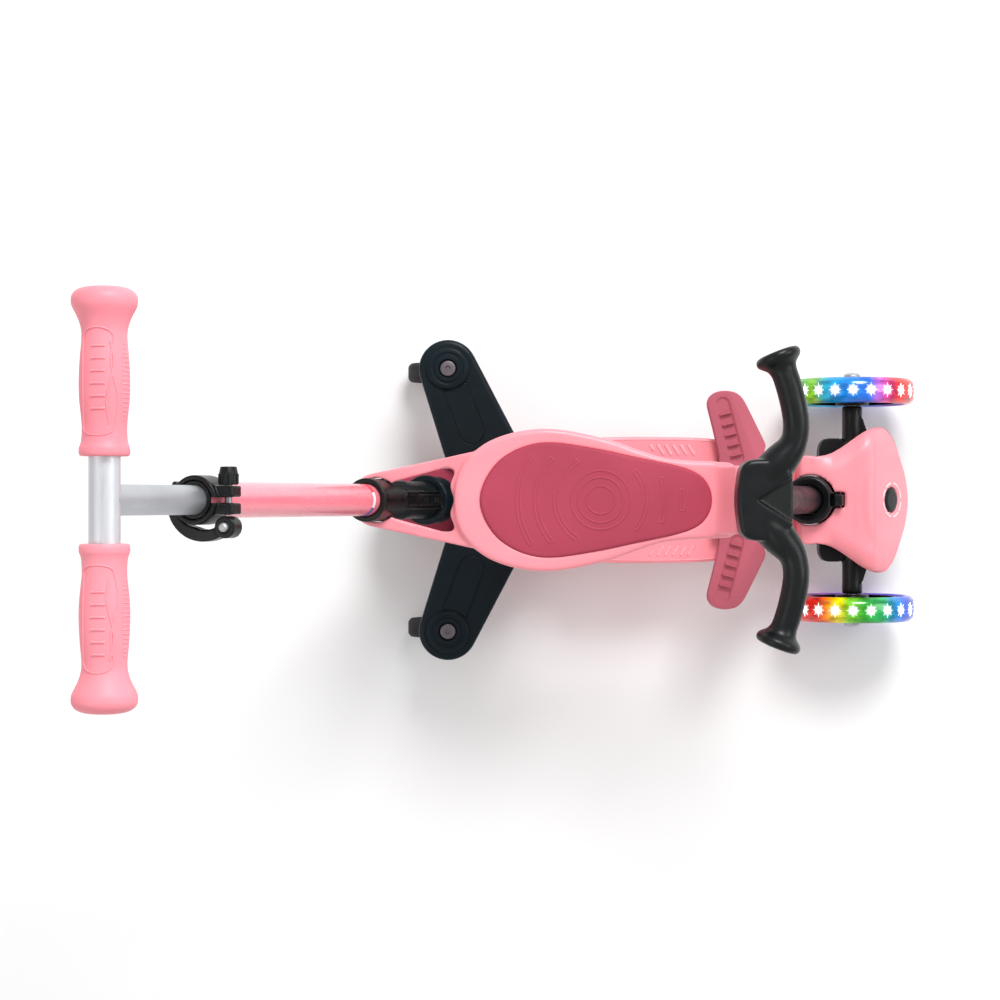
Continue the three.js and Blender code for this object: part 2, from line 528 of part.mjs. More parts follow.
// ---- push bar: foot, tubes, crossbar and grips, drawn upright in the leaning group ----
const LATCH_BOTTOM = 3;
const LATCH_TOP = 59;
function barFoot() {
  const body = turned([[0, -27.5], [13.5, -27.5], [15.2, -25], [15.2, 0.5], [17.45, 0.5], [17.45, 60],
    [18.9, 62], [18.9, 128], [19.6, 130], [19.6, 134], [0, 134]], 20);
  const frame = block(14, 20.2, -8, 8, 1, 86);
  return cut(union(body, frame), rod(14.6, [0, 0, 64], [0, 0, 140], 20),
    block(11.5, 30, -6.7, 6.7, LATCH_BOTTOM - 0.5, LATCH_TOP + 0.5));
}
addPiece(barGroup, 'bar_foot', barFoot(), BLACK);
addPiece(barGroup, 'foot_latch', block(15, 20.6, -6.2, 6.2, LATCH_BOTTOM, LATCH_TOP), BLACK);
addPiece(barGroup, 'outer_tube', ring(OUTER_TUBE_R, 12.6, 64.5, CLAMP_TOP - 3, 20), PINK);
addPiece(barGroup, 'reducer_bush', union(ring(12.3, 11.5, 396, CLAMP_TOP, 20),
  ring(OUTER_TUBE_R, 11.5, CLAMP_TOP - 2.6, CLAMP_TOP, 20)), BLACK);
addPiece(barGroup, 'bar_stem', cut(ring(STEM_R, 9.6, 232, CROSSBAR_Z, 20),
  rod(STEM_R + 0.3, [0, -30, CROSSBAR_Z], [0, 30, CROSSBAR_Z], 20)), ALUMINIUM);
addPiece(barGroup, 'crossbar', turnedAlongY(
  [[9.5, -138], [STEM_R, -138], [STEM_R, 138], [9.5, 138], [9.5, -138]], 0, 0, CROSSBAR_Z, 1, 20), ALUMINIUM);

const GRIP_PROFILE = [[11.6, GRIP_START], [17, GRIP_START], [18, 33], [17.2, 38.5], [15.8, 46], [15.8, 54],
  [17.2, 68], [17.9, 82], [17, 102], [16, 112], [16.2, 119], [18.4, 127], [22, 133.5], [23.4, 138.5],
  [22.4, 143.5], [18.5, 147.5], [11, GRIP_END], [0, GRIP_END], [0, 140], [11.6, 140], [11.6, GRIP_START]];
for (const [name, s] of SIDES) {
  addPiece(barGroup, `grip_${name}`, turnedAlongY(GRIP_PROFILE, 0, 0, CROSSBAR_Z, s, 14), SOFT_PINK);
}

// ---- quick clamp ----
const CLAMP_BOTTOM = 420;
const CLAMP_BOLT = [23, 433];
const LEVER_PIN_Y = -20.5;
function clampCollar() {
  const ears = [1, -1].map((s) => block(14, 31, Math.min(s * 2, s * 11), Math.max(s * 2, s * 11), 424, 442));
  return cut(union(ring(19, 14.6, CLAMP_BOTTOM, CLAMP_TOP, 20), ...ears),
    block(10, 40, -2, 2, 400, 460), rod(14.6, [0, 0, 400], [0, 0, 460], 20),
    rod(PIN_BORE, [CLAMP_BOLT[0], -30, CLAMP_BOLT[1]], [CLAMP_BOLT[0], 30, CLAMP_BOLT[1]], 14));
}
addPiece(barGroup, 'clamp_collar', clampCollar(), BLACK);

function clampLever() {
  const outer = [];
  const inner = [];
  for (let i = 0; i <= 12; i += 1) {
    const part = i / 12;
    const angle = THREE.MathUtils.degToRad(-46 - 170 * part);
    const near = 20.7 + 5.4 * Math.max(0, 1 - part * 3.2);
    const far = 25.5 + 9 * (1 - part) ** 1.3;
    outer.push([far * Math.cos(angle), far * Math.sin(angle)]);
    inner.push([near * Math.cos(angle), near * Math.sin(angle)]);
  }
  const hub = rod(8.6, [CLAMP_BOLT[0], LEVER_PIN_Y, 426], [CLAMP_BOLT[0], LEVER_PIN_Y, 440], 20);
  return cut(union(plate([...outer, ...inner.reverse()], 426.5, 439.5), hub),
    rod(4.1, [CLAMP_BOLT[0], LEVER_PIN_Y, 400], [CLAMP_BOLT[0], LEVER_PIN_Y, 460], 16));
}
addPiece(barGroup, 'clamp_lever', clampLever(), BLACK);
addPiece(barGroup, 'lever_pin',
  rod(3.7, [CLAMP_BOLT[0], LEVER_PIN_Y, 423], [CLAMP_BOLT[0], LEVER_PIN_Y, 444], 16), ALUMINIUM);
addPiece(barGroup, 'clamp_bolt',
  rod(PIN_R, [CLAMP_BOLT[0], -11.5, CLAMP_BOLT[1]], [CLAMP_BOLT[0], 22, CLAMP_BOLT[1]], 12), STEEL);
addPiece(barGroup, 'clamp_knob', turnedAlongY([[3.4, 0], [7.8, 0], [7.8, 9], [6.6, 14], [0, 14], [0, 11.2],
  [3.4, 11.2], [3.4, 0]], CLAMP_BOLT[0], 11.4, CLAMP_BOLT[1], 1, 14), BLACK);

export default group;
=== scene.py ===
# Looks of a toddler kick scooter in ride-on mode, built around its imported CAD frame.
# Shapes are drawn in millimetres in the row frame and turned into metres as they are made.
import json
import math

import bmesh
import bpy
from mathutils import Matrix, Vector


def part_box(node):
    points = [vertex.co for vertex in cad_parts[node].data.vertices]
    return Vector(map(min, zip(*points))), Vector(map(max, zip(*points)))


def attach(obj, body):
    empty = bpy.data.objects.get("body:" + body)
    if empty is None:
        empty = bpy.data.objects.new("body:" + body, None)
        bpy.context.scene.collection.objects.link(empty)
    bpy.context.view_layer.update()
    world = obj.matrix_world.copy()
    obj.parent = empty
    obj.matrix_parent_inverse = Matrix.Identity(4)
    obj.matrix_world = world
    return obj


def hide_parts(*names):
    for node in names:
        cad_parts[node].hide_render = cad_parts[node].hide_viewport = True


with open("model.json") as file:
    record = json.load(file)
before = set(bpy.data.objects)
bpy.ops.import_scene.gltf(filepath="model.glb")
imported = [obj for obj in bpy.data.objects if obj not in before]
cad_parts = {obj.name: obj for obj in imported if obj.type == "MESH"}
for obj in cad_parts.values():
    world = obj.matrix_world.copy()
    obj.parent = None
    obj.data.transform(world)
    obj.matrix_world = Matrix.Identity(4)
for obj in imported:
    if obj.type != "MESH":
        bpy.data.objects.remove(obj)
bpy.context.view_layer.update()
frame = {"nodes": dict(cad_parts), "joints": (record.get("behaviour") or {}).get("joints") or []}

MM = 0.001
SHARP_ANGLE = 38
SIDES = (("left", 1), ("right", -1))
JOINTS = {joint["name"]: joint for joint in frame["joints"]}
ALONG_Y = Matrix.Rotation(math.radians(-90), 4, "X")
# Turns a slab's own X, Y, Z into X, Z and -Y, so that a side view is drawn in (x, z).
SIDE_VIEW = Matrix.Rotation(math.radians(90), 4, "X")


# ---------------------------------------------------------------- places from the frame
def mm(vector):
    return Vector(vector) / MM


def middle(node):
    low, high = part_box(node)
    return mm((low + high) / 2)


def pivot(joint):
    return mm(JOINTS[joint]["pos_m"])


def shifted(x, y, z):
    return Matrix.Translation((x, y, z))


def axle_at(point):
    """A frame at point with its Z along the row's Y."""
    return Matrix.Translation(point) @ ALONG_Y


def leaning(origin, up, forward):
    """A frame at origin, in mm, with its Z along up and its X along forward."""
    across = Vector(up).cross(Vector(forward))
    turn = Matrix((forward, across, up)).transposed().to_4x4()
    return Matrix.Translation(origin) @ turn


BAR_UP = Vector(JOINTS["bar_height"]["axis"]).normalized()
BAR_FORWARD = -Vector(JOINTS["latch_press"]["axis"]).normalized()
CLAMP_BOLT_X, CLAMP_BOLT_Z = 23, 433
LEVER_PIN_Y = -20.5
bar_turn = leaning((0, 0, 0), BAR_UP, BAR_FORWARD).to_3x3()
bar_foot = pivot("lever_open") - bar_turn @ Vector((CLAMP_BOLT_X, LEVER_PIN_Y, CLAMP_BOLT_Z))
BAR = leaning(bar_foot, BAR_UP, BAR_FORWARD)

# In the post's frame, the middle of the release button lies here.
TAB_MIDDLE = Vector((28, 0, -5.75))
POST_FORWARD = -Vector(JOINTS["socket_release_press"]["axis"]).normalized()
POST_UP = POST_FORWARD.cross(Vector((0, 1, 0)))
post_turn = leaning((0, 0, 0), POST_UP, POST_FORWARD).to_3x3()
POST = leaning(middle("socket_release_button") - post_turn @ TAB_MIDDLE, POST_UP, POST_FORWARD)

FRONT_AXLE = middle("front_axle")
REAR_AXLE = pivot("rear_wheel_spin")
STEER = leaning(pivot("truck_steer"), Vector(JOINTS["truck_steer"]["axis"]),
    Vector((0, 1, 0)).cross(Vector(JOINTS["truck_steer"]["axis"])))
LOCK_OUT = -Vector(JOINTS["steering_lock_press"]["axis"]).normalized()
SCREW_RISE, PAD_RISE = 3.6, 5
YOKE_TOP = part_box("caster_screw_left")[1].z / MM - SCREW_RISE
DECK_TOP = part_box("deck")[1].z / MM
SEAT_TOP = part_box("seat_pad")[1].z / MM - PAD_RISE
CROSSBAR_Z = 573


def stretch(points, count):
    """Centripetal Catmull-Rom points through a closed list of (x, y)."""
    size = len(points)
    out = []
    for i in range(size):
        p = [Vector(points[(i + k - 1) % size]) for k in range(4)]
        d = [max((p[k + 1] - p[k]).length ** 0.5, 1e-4) for k in range(3)]
        t1 = ((p[1] - p[0]) / d[0] - (p[2] - p[0]) / (d[0] + d[1]) + (p[2] - p[1]) / d[1]) * d[1]
        t2 = ((p[2] - p[1]) / d[1] - (p[3] - p[1]) / (d[1] + d[2]) + (p[3] - p[2]) / d[2]) * d[1]
        for k in range(count):
            t = k / count
            out.append(p[1] * (2 * t ** 3 - 3 * t ** 2 + 1) + t1 * (t ** 3 - 2 * t ** 2 + t) + p[2]
                * (3 * t ** 2 - 2 * t ** 3) + t2 * (t ** 3 - t ** 2))
    return [tuple(v) for v in out]


def even(half, count=10, grow=0.0):
    """Closed outline, the same on both sides of Y = 0, from its (x, half width) points."""
    points = stretch(list(half) + [(x, -y) for x, y in reversed(half[1:-1])], count)
    out = []
    for i, point in enumerate(points):
        ahead = Vector(points[(i + 1) % len(points)])
        along = (ahead - Vector(points[i - 1])).normalized()
        out.append((point[0] - along.y * grow, point[1] + along.x * grow))
    return out


def mirrored(points, side):
    return points if side > 0 else [(x, -y) for x, y in reversed(points)]


def rounded(points, radius, cuts=4, closed=True):
    """The outline or profile with each corner turned into a short curve."""
    out = []
    size = len(points)
    for i, point in enumerate(points):
        here = Vector(point)
        if not closed and i in (0, size - 1):
            out.append(tuple(here))
            continue
        back = Vector(points[i - 1]) - here
        ahead = Vector(points[(i + 1) % size]) - here
        start = here + back.normalized() * min(radius, back.length * 0.45)
        end = here + ahead.normalized() * min(radius, ahead.length * 0.45)
        for t in steps(cuts):
            out.append(tuple(start * (1 - t) ** 2 + here * 2 * t * (1 - t) + end * t ** 2))
    return out


def span(side, near, far):
    """The low and high Y of a range on one side."""
    return sorted((side * near, side * far))


def both_sides(half):
    """A closed outline from its left half."""
    return half + [(x, -y) for x, y in reversed(half)]


def arc(centre, radius, start, end, count=16):
    angles = [math.radians(start + (end - start) * k / count) for k in range(count + 1)]
    return [(centre[0] + radius * math.cos(a), centre[1] + radius * math.sin(a)) for a in angles]


def steps(count):
    """Even steps from 0 to 1."""
    return [k / count for k in range(count + 1)]


def half_width(half, x):
    """Half width at x of an outline given as (x, half width) points."""
    for (x0, w0), (x1, w1) in zip(half, half[1:]):
        if x0 <= x <= x1:
            return w0 + (w1 - w0) * (x - x0) / max(x1 - x0, 1e-6)
    return 0.0


def clamp(value):
    return max(0.0, min(1.0, value))


def blend(value, start, end):
    """0 before start, 1 after end, and smooth between them."""
    t = clamp((value - start) / (end - start))
    return t * t * (3 - 2 * t)


# ---------------------------------------------------------------- mesh builders
def add_object(name, data):
    obj = bpy.data.objects.new(name, data)
    bpy.context.scene.collection.objects.link(obj)
    return obj


def make(name, vertices, faces, place=Matrix()):
    mesh = bpy.data.meshes.new(name)
    mesh.from_pydata([place @ Vector(v) * MM for v in vertices], [], faces)
    obj = add_object(name, mesh)
    work = bmesh.new()
    work.from_mesh(mesh)
    bmesh.ops.remove_doubles(work, verts=work.verts, dist=1e-7)
    bmesh.ops.recalc_face_normals(work, faces=work.faces)
    work.to_mesh(mesh)
    work.free()
    return obj


def revolve(name, profile, place=Matrix(), around=96, closed=False):
    """Profile points are (radius, height), turned about the place's Z."""
    vertices, rows = [], []
    for radius, height in profile:
        if radius < 1e-6:
            rows.append([len(vertices)] * around)
            vertices.append((0, 0, height))
            continue
        rows.append(list(range(len(vertices), len(vertices) + around)))
        for k in range(around):
            angle = 2 * math.pi * k / around
            vertices.append((radius * math.cos(angle), radius * math.sin(angle), height))
    faces = []
    pairs = list(zip(rows, rows[1:])) + ([(rows[-1], rows[0])] if closed else [])
    for low, high in pairs:
        for k in range(around):
            n = (k + 1) % around
            loop = list(dict.fromkeys((low[k], low[n], high[n], high[k])))
            if len(loop) > 2:
                faces.append(loop)
    return make(name, vertices, faces, place)


def turned(name, profile, edge, cuts, place=Matrix(), around=96, closed=False):
    """A revolved piece with the corners of its profile rounded."""
    return revolve(name, rounded(profile, edge, cuts, closed), place, around, closed)


def rod(name, radius, low, high, place=Matrix(), around=32, edge=0.0):
    """A solid cylinder from low to high on the place's Z, with its rims rounded by edge."""
    profile = [(0, low), (radius, low), (radius, high), (0, high)]
    return revolve(name, rounded(profile, edge, 3, False) if edge else profile, place, around)


def ring(name, inner, outer, low, high, place=Matrix(), around=96, edge=0.0, cuts=3):
    """A tube from low to high on the place's Z."""
    profile = [(inner, low), (outer, low), (outer, high), (inner, high)]
    return revolve(name, rounded(profile, edge, cuts) if edge else profile, place, around, True)


def slab(name, outline, z0, z1, place=Matrix()):
    size = len(outline)
    vertices = [(x, y, z) for z in (z0, z1) for x, y in outline]
    faces = [list(range(size))[::-1], list(range(size, 2 * size))]
    faces += [[k, (k + 1) % size, size + (k + 1) % size, size + k] for k in range(size)]
    return make(name, vertices, faces, place)


def side_slab(name, outline, y0, y1, place=Matrix()):
    return slab(name, outline, -y1, -y0, place @ SIDE_VIEW)


def brick(name, low, high, place=Matrix()):
    (x0, y0, z0), (x1, y1, z1) = low, high
    return slab(name, [(x0, y0), (x1, y0), (x1, y1), (x0, y1)], z0, z1, place)


def sweep(name, points, radius, place=Matrix(), cyclic=False, sides=4, radii=None):
    curve = bpy.data.curves.new(name, "CURVE")
    curve.dimensions = "3D"
    curve.bevel_depth = radius * MM
    curve.bevel_resolution = sides
    curve.use_fill_caps = True
    spline = curve.splines.new("POLY")
    spline.points.add(len(points) - 1)
    for k, point in enumerate(points):
        spline.points[k].co = (*(place @ Vector(point) * MM), 1)
        spline.points[k].radius = radii[k] if radii else 1.0
    spline.use_cyclic_u = cyclic
    source = add_object(name + "_path", curve)
    bpy.context.view_layer.update()
    mesh = bpy.data.meshes.new_from_object(source.evaluated_get(bpy.context.evaluated_depsgraph_get()))
    bpy.data.objects.remove(source)
    return add_object(name, mesh)


def smooth_path(points, count=8):
    """An open path through 3-D points."""
    ends = [Vector(points[0]) * 2 - Vector(points[1])] + [Vector(p) for p in points]
    ends.append(Vector(points[-1]) * 2 - Vector(points[-2]))
    out = []
    for i in range(1, len(ends) - 2):
        a, b, c, d = ends[i - 1:i + 3]
        for k in range(count):
            t = k / count
            out.append((b * 2 + (c - a) * t + (a * 2 - b * 5 + c * 4 - d) * t * t
                + (b * 3 - a - c * 3 + d) * t ** 3) / 2)
    out.append(ends[-2])
    return [tuple(v) for v in out]


def shade(mesh):
    """Smooth shading between faces that meet gently."""
    mesh.shade_smooth()
    mesh.set_sharp_from_angle(angle=math.radians(SHARP_ANGLE))


def settle(obj):
    """Applies the modifiers and shades the result."""
    bpy.context.view_layer.update()
    graph = bpy.context.evaluated_depsgraph_get()
    mesh = bpy.data.meshes.new_from_object(obj.evaluated_get(graph))
    old = obj.data
    obj.modifiers.clear()
    obj.data = mesh
    bpy.data.meshes.remove(old)
    shade(mesh)
    return obj


def soften(obj, width=1.0, segments=3, angle=28):
    bevel = obj.modifiers.new("edges", "BEVEL")
    bevel.width = width * MM
    bevel.segments = segments
    bevel.limit_method = "ANGLE"
    bevel.angle_limit = math.radians(angle)
    return settle(obj)


def merge(name, parts):
    """One object from several, without welding them."""
    work = bmesh.new()
    for part in parts:
        work.from_mesh(part.data)
    mesh = bpy.data.meshes.new(name)
    work.to_mesh(mesh)
    work.free()
    for part in parts:
        bpy.data.objects.remove(part)
    shade(mesh)
    return add_object(name, mesh)


def carve(obj, cutters, operation="DIFFERENCE"):
    for cutter in cutters:
        knife = obj.modifiers.new("cut", "BOOLEAN")
        knife.operation = operation
        knife.solver = "EXACT"
        knife.object = cutter
    settle(obj)
    for cutter in cutters:
        bpy.data.objects.remove(cutter)
    return obj


def reshape(obj, move):
    """Moves each vertex by the vector, in mm, that move(point, normal) gives."""
    shifts = [move(vertex.co / MM, vertex.normal) for vertex in obj.data.vertices]
    for vertex, shift in zip(obj.data.vertices, shifts):
        vertex.co += Vector(shift) * MM
    obj.data.update()
    return obj


def reskin(obj, voxel):
    skin = obj.modifiers.new("skin", "REMESH")
    skin.mode = "VOXEL"
    skin.voxel_size = voxel * MM


def relax(obj, rounds):
    smooth = obj.modifiers.new("relax", "SMOOTH")
    smooth.factor = 0.5
    smooth.iterations = rounds
    settle(obj)
    obj.data.shade_smooth()
    return obj


def fuse(name, parts, cutters=(), voxel=1.2, smooth=6):
    """A moulded body: the parts melt into one skin, the cutters open it, and its edges soften."""
    obj = merge(name, parts)
    reskin(obj, voxel)
    settle(obj)
    if cutters:
        carve(obj, cutters)
        reskin(obj, voxel)
    return relax(obj, smooth)


# ---------------------------------------------------------------- materials
def linear(code):
    """Scene-linear colour from an sRGB hex code."""
    parts = [int(code[k:k + 2], 16) / 255 for k in (0, 2, 4)]
    return [c / 12.92 if c <= 0.04045 else ((c + 0.055) / 1.055) ** 2.4 for c in parts] + [1.0]


class Look:
    """A node material with helpers for the few nodes that all the finishes share."""

    def __init__(self, name):
        self.material = bpy.data.materials.new(name)
        self.material.use_nodes = True
        self.tree = self.material.node_tree
        self.shader = self.tree.nodes["Principled BSDF"]
        self.place = self.tree.nodes.new("ShaderNodeTexCoord").outputs["Object"]

    def node(self, kind, **values):
        made = self.tree.nodes.new("ShaderNode" + kind)
        for key, value in values.items():
            if key in made.inputs:
                made.inputs[key].default_value = value
            else:
                setattr(made, key, value)
        return made

    def feed(self, socket, value):
        """Links a source to the socket, or sets a constant on it."""
        if isinstance(value, bpy.types.NodeSocket):
            self.tree.links.new(value, socket)
        else:
            socket.default_value = value

    def put(self, name, value):
        self.feed(self.shader.inputs[name], value)

    def noise(self, scale, detail=3.0, stretch_by=None):
        texture = self.node("TexNoise", Scale=scale, Detail=detail)
        source = self.place
        if stretch_by:
            mapping = self.node("Mapping", Scale=stretch_by)
            self.feed(mapping.inputs["Vector"], source)
            source = mapping.outputs["Vector"]
        self.feed(texture.inputs["Vector"], source)
        return texture.outputs["Fac"]

    def calc(self, operation, first, second):
        made = self.node("Math", operation=operation)
        self.feed(made.inputs[0], first)
        self.feed(made.inputs[1], second)
        return made.outputs[0]

    def mix(self, factor, first, second, blend_type="MIX"):
        made = self.node("Mix", data_type="RGBA", blend_type=blend_type)
        for socket, value in ((0, factor), (6, first), (7, second)):
            self.feed(made.inputs[socket], value)
        return made.outputs[2]

    def ramp(self, source, stops, mode="LINEAR"):
        ramp = self.node("ValToRGB")
        ramp.color_ramp.interpolation = mode
        points = ramp.color_ramp.elements
        while len(points) < len(stops):
            points.new(1.0)
        for point, (where, colour) in zip(points, stops):
            point.position = where
            point.color = colour
        self.feed(ramp.inputs["Fac"], source)
        return ramp.outputs["Color"]

    def spread(self, source, low, high, start=0.3, end=0.7):
        span = self.node("MapRange", **{"From Min": start, "From Max": end, "To Min": low,
            "To Max": high})
        self.feed(span.inputs["Value"], source)
        return span.outputs["Result"]

    def bump(self, layers):
        """Layers are (height source, strength, distance in mm), the coarsest first."""
        normal = None
        for source, strength, distance in layers:
            bump = self.node("Bump", Strength=strength, Distance=distance * MM)
            self.feed(bump.inputs["Height"], source)
            if normal:
                self.feed(bump.inputs["Normal"], normal)
            normal = bump.outputs["Normal"]
        self.put("Normal", normal)


def moulded(name, base, deep, worn, roughness, grain=1500, depth=0.25, coat=0.0, specular=0.5):
    """Injection moulded plastic: fine grain, slow colour drift, and edges rubbed paler."""
    look = Look(name)
    colour = look.ramp(look.noise(9, 2.0), [(0.35, linear(deep)), (0.62, linear(base))])
    edge = look.spread(look.node("NewGeometry").outputs["Pointiness"], 0.0, 0.7, 0.53, 0.62)
    worn_mask = look.calc("MULTIPLY", edge, look.spread(look.noise(220, 5.0), 0.2, 1.0))
    look.put("Base Color", look.mix(worn_mask, colour, linear(worn)))
    look.put("Roughness", look.spread(look.noise(60, 4.0), roughness - 0.06, roughness + 0.08))
    look.put("Specular IOR Level", specular)
    look.put("Coat Weight", coat)
    look.put("Coat Roughness", 0.18)
    look.bump([(look.noise(40, 2.0), 0.12, 0.2), (look.noise(grain, 2.0), depth, 0.06)])
    return look.material


def metal(name, base, roughness, stretch_by=(60, 60, 2), depth=0.12):
    """Brushed metal with fine drawn lines and faint handling marks."""
    look = Look(name)
    lines = look.noise(26, 6.0, stretch_by)
    colour = look.ramp(look.noise(16, 3.0), [(0.3, linear(base[0])), (0.7, linear(base[1]))])
    look.put("Base Color", colour)
    look.put("Metallic", 1.0)
    look.put("Roughness", look.spread(lines, roughness - 0.05, roughness + 0.1))
    look.bump([(lines, depth, 0.03)])
    return look.material


# Each finish is a material and the slot that it fills.
PINK = moulded("pink_shell", "fb98a3", "f98f9b", "ffb9c1", 0.4, coat=0.1), "pink_plastic"
PAD = moulded("pad_rubber", "b04257", "a43b50", "c66a7b", 0.62, grain=2200, depth=0.4,
    specular=0.25), "dark_pink_plastic"
REST = moulded("rest_rubber", "bd5f6f", "b15767", "d08290", 0.6, grain=2200, depth=0.4,
    specular=0.3), "dark_pink_plastic"
GRIP = moulded("grip_rubber", "fa93a0", "f78a97", "ffb6bf", 0.5, grain=2600, depth=0.4), "grip_rubber"
BLACK = moulded("black_moulding", "0e1214", "090c0d", "2c3234", 0.33, grain=1200, depth=0.2,
    specular=0.3), "black_plastic"
NAVY = moulded("arm_black", "0d1b22", "0a151a", "263740", 0.36, grain=1200, depth=0.25,
    specular=0.16), "black_plastic"
GLOSS = moulded("post_lacquer", "101619", "0e1316", "171e21", 0.4, grain=300, depth=0.01,
    specular=0.12), "post_black"
TUBE = moulded("tube_lacquer", "fa8797", "f88091", "ffaab5", 0.24, grain=400, depth=0.06,
    coat=0.5), "tube_pink"
RUBBER = moulded("wheel_rubber", "1b1b1d", "121214", "39393b", 0.7, grain=1800, depth=0.6), "wheel_rubber"
SILVER = metal("brushed_aluminium", ("b6b9bd", "c6c9cd"), 0.5, (50, 50, 2), 0.04), "aluminium"
# The crossbar's aluminium is the stem's aluminium painted paler, a painted highlight for the light the
# crossbar catches. Its brushing runs along the crossbar.
CROSSBAR_PAINTED_HIGHLIGHT = metal("crossbar_aluminium_painted_paler", ("d6d8dc", "e2e4e8"), 0.5, (50, 2, 50), 0.04), "aluminium"
STEEL = metal("zinc_steel", ("85878c", "a9abb0"), 0.34, (8, 8, 8)), "steel"
SCREW = metal("dark_screw", ("5d565c", "7b747a"), 0.42, (12, 12, 12)), "steel"
WHITE = moulded("white_print", "f4f4f6", "ececf0", "ffffff", 0.35), "tube_pink"
PALE = moulded("pale_print", "d3d3d8", "c9c9cf", "e6e6ea", 0.4), "pink_plastic"
RED = moulded("red_print", "d8283c", "cc2236", "e85a68", 0.35), "tube_pink"
BLUE = moulded("blue_print", "2b4fb0", "2547a2", "5a78c8", 0.35), "tube_pink"


# Painted light: a glowing near-white for the flare stars drawn over each wheel LED. These are painted
# glints, not a lamp.
def glow(name, strength):
    look = Look(name)
    warm = look.ramp(look.noise(300, 2.0), [(0.3, (1.0, 0.98, 0.95, 1)), (0.7, (1, 1, 1, 1))])
    look.put("Base Color", warm)
    look.put("Emission Color", warm)
    look.put("Emission Strength", strength)
    look.put("Roughness", 0.3)
    return look.material


LED_FLARE_GLOW = glow("painted_led_flare", 2.4), "wheel_clear"
LED_COUNT = 22
TYRE_RADIUS = 60.4


def lit_tyre(name, stops):
    """Clear cast wheel lit from inside: colour runs round the axle, with soft darker gaps."""
    look = Look(name)
    split = look.node("SeparateXYZ")
    look.feed(split.inputs[0], look.place)
    angle = look.calc("ARCTAN2", split.outputs["Z"], split.outputs["X"])
    turn = look.spread(angle, 0.0, 1.0, -math.pi, math.pi)
    colour = look.ramp(turn, [(where, linear(code)) for where, code in stops])
    mottle = look.ramp(look.noise(90, 4.0, (1.0, 2.2, 1.0)), [(0.34, (0.3, 0.3, 0.4, 1)),
        (0.62, (1, 1, 1, 1))])
    mottled = look.mix(0.8, colour, mottle, "MULTIPLY")

    near = look.calc("PINGPONG", look.calc("MULTIPLY", turn, LED_COUNT), 0.5)
    where = look.node("CombineXYZ")
    look.feed(where.inputs["X"], look.calc("MULTIPLY", near, 2 * math.pi * TYRE_RADIUS * MM / LED_COUNT))
    look.feed(where.inputs["Y"], split.outputs["Y"])
    far = look.node("VectorMath", operation="LENGTH")
    look.feed(far.inputs[0], where.outputs[0])
    halo = look.spread(far.outputs["Value"], 0.75, 0.0, 0.0018, 0.0058)
    lit = look.mix(halo, mottled, (1, 1, 1, 1))
    look.put("Base Color", lit)
    look.put("Emission Color", lit)
    look.put("Emission Strength", 0.3)
    look.put("Roughness", 0.14)
    look.put("Coat Weight", 0.4)
    look.bump([(look.noise(500, 2.0), 0.1, 0.05)])
    return look.material


# Colours run from the rear (-X), under the wheel, to the front, over the top and back.
TYRE_LEFT = lit_tyre("lit_tyre_left", [(0.0, "3ecb4a"), (0.2, "25b9e8"), (0.4, "8a5be0"),
    (0.55, "e0180a"), (0.645, "e41412"), (0.672, "e83078"), (0.705, "c060d0"), (0.73, "1a6ce0"),
    (0.8, "0a86d8"), (0.85, "0aa8c0"), (0.88, "86cf1c"), (0.93, "3cb828")]), "wheel_clear"
TYRE_RIGHT = lit_tyre("lit_tyre_right", [(0.0, "e23a28"), (0.25, "8a5be0"), (0.5, "0a3cc0"),
    (0.62, "0854d4"), (0.655, "0890d0"), (0.69, "0aa85a"), (0.745, "1ea01c"), (0.785, "78c418"),
    (0.812, "f4dc06"), (0.845, "f47a06"), (0.87, "e01c06"), (0.95, "c81408")]), "wheel_clear"


def dress(obj, finish, body, *nodes):
    """Gives a piece the material of its finish and its body, and hides the CAD nodes that it stands for."""
    material, slot = finish
    obj.data.materials.clear()
    obj.data.materials.append(material)
    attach(obj, body)
    if nodes:
        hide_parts(*nodes)
    return obj


# ---------------------------------------------------------------- camera, floor and light
CAMERA_PLACE, CAMERA_LENS, CAMERA_SENSOR = (-0.052, 0.0, 2.2063), 79.2, 36
FLOOR_REACH, FLOOR_Z = 4000, -0.6
LIGHT_TARGET = Vector((0, 0, 0.2))
# Each lamp is its name, its place and size in metres, and its power in watts.
LAMPS = [("key", (0.5, 1.7, 2.1), 1.1, 52), ("fill", (-1.6, -0.6, 2.2), 1.6, 9),
    ("front", (1.9, 0.4, 1.7), 1.2, 12)]


def set_stage():
    camera = bpy.data.cameras.new("camera")
    camera.lens = CAMERA_LENS
    camera.sensor_width = CAMERA_SENSOR
    view = add_object("camera", camera)
    view.location = CAMERA_PLACE
    bpy.context.scene.camera = view

    corners = [(x * FLOOR_REACH, y * FLOOR_REACH, FLOOR_Z) for x, y in ((-1, -1), (1, -1), (1, 1), (-1, 1))]
    floor = make("floor", corners, [(0, 1, 2, 3)])
    paper = Look("pale_floor")
    tone = paper.ramp(paper.noise(2.0, 2.0), [(0.3, (0.93, 0.93, 0.93, 1)), (0.7, (0.95, 0.95, 0.95, 1))])
    paper.put("Base Color", tone)
    paper.put("Roughness", 0.9)
    floor.data.materials.append(paper.material)

    world = bpy.data.worlds.new("studio")
    bpy.context.scene.world = world
    world.use_nodes = True
    world.node_tree.nodes["Background"].inputs["Color"].default_value = (1, 1, 1, 1)
    world.node_tree.nodes["Background"].inputs["Strength"].default_value = 0.6
    for name, place, size, power in LAMPS:
        lamp = bpy.data.lights.new(name, "AREA")
        lamp.shape = "DISK"
        lamp.size = size
        lamp.energy = power
        holder = add_object(name, lamp)
        holder.location = place
        holder.rotation_euler = (LIGHT_TARGET - Vector(place)).to_track_quat("-Z", "Y").to_euler()
    bpy.context.scene.view_settings.view_transform = "Standard"


set_stage()
FRAME_BODY = "scooter_frame"


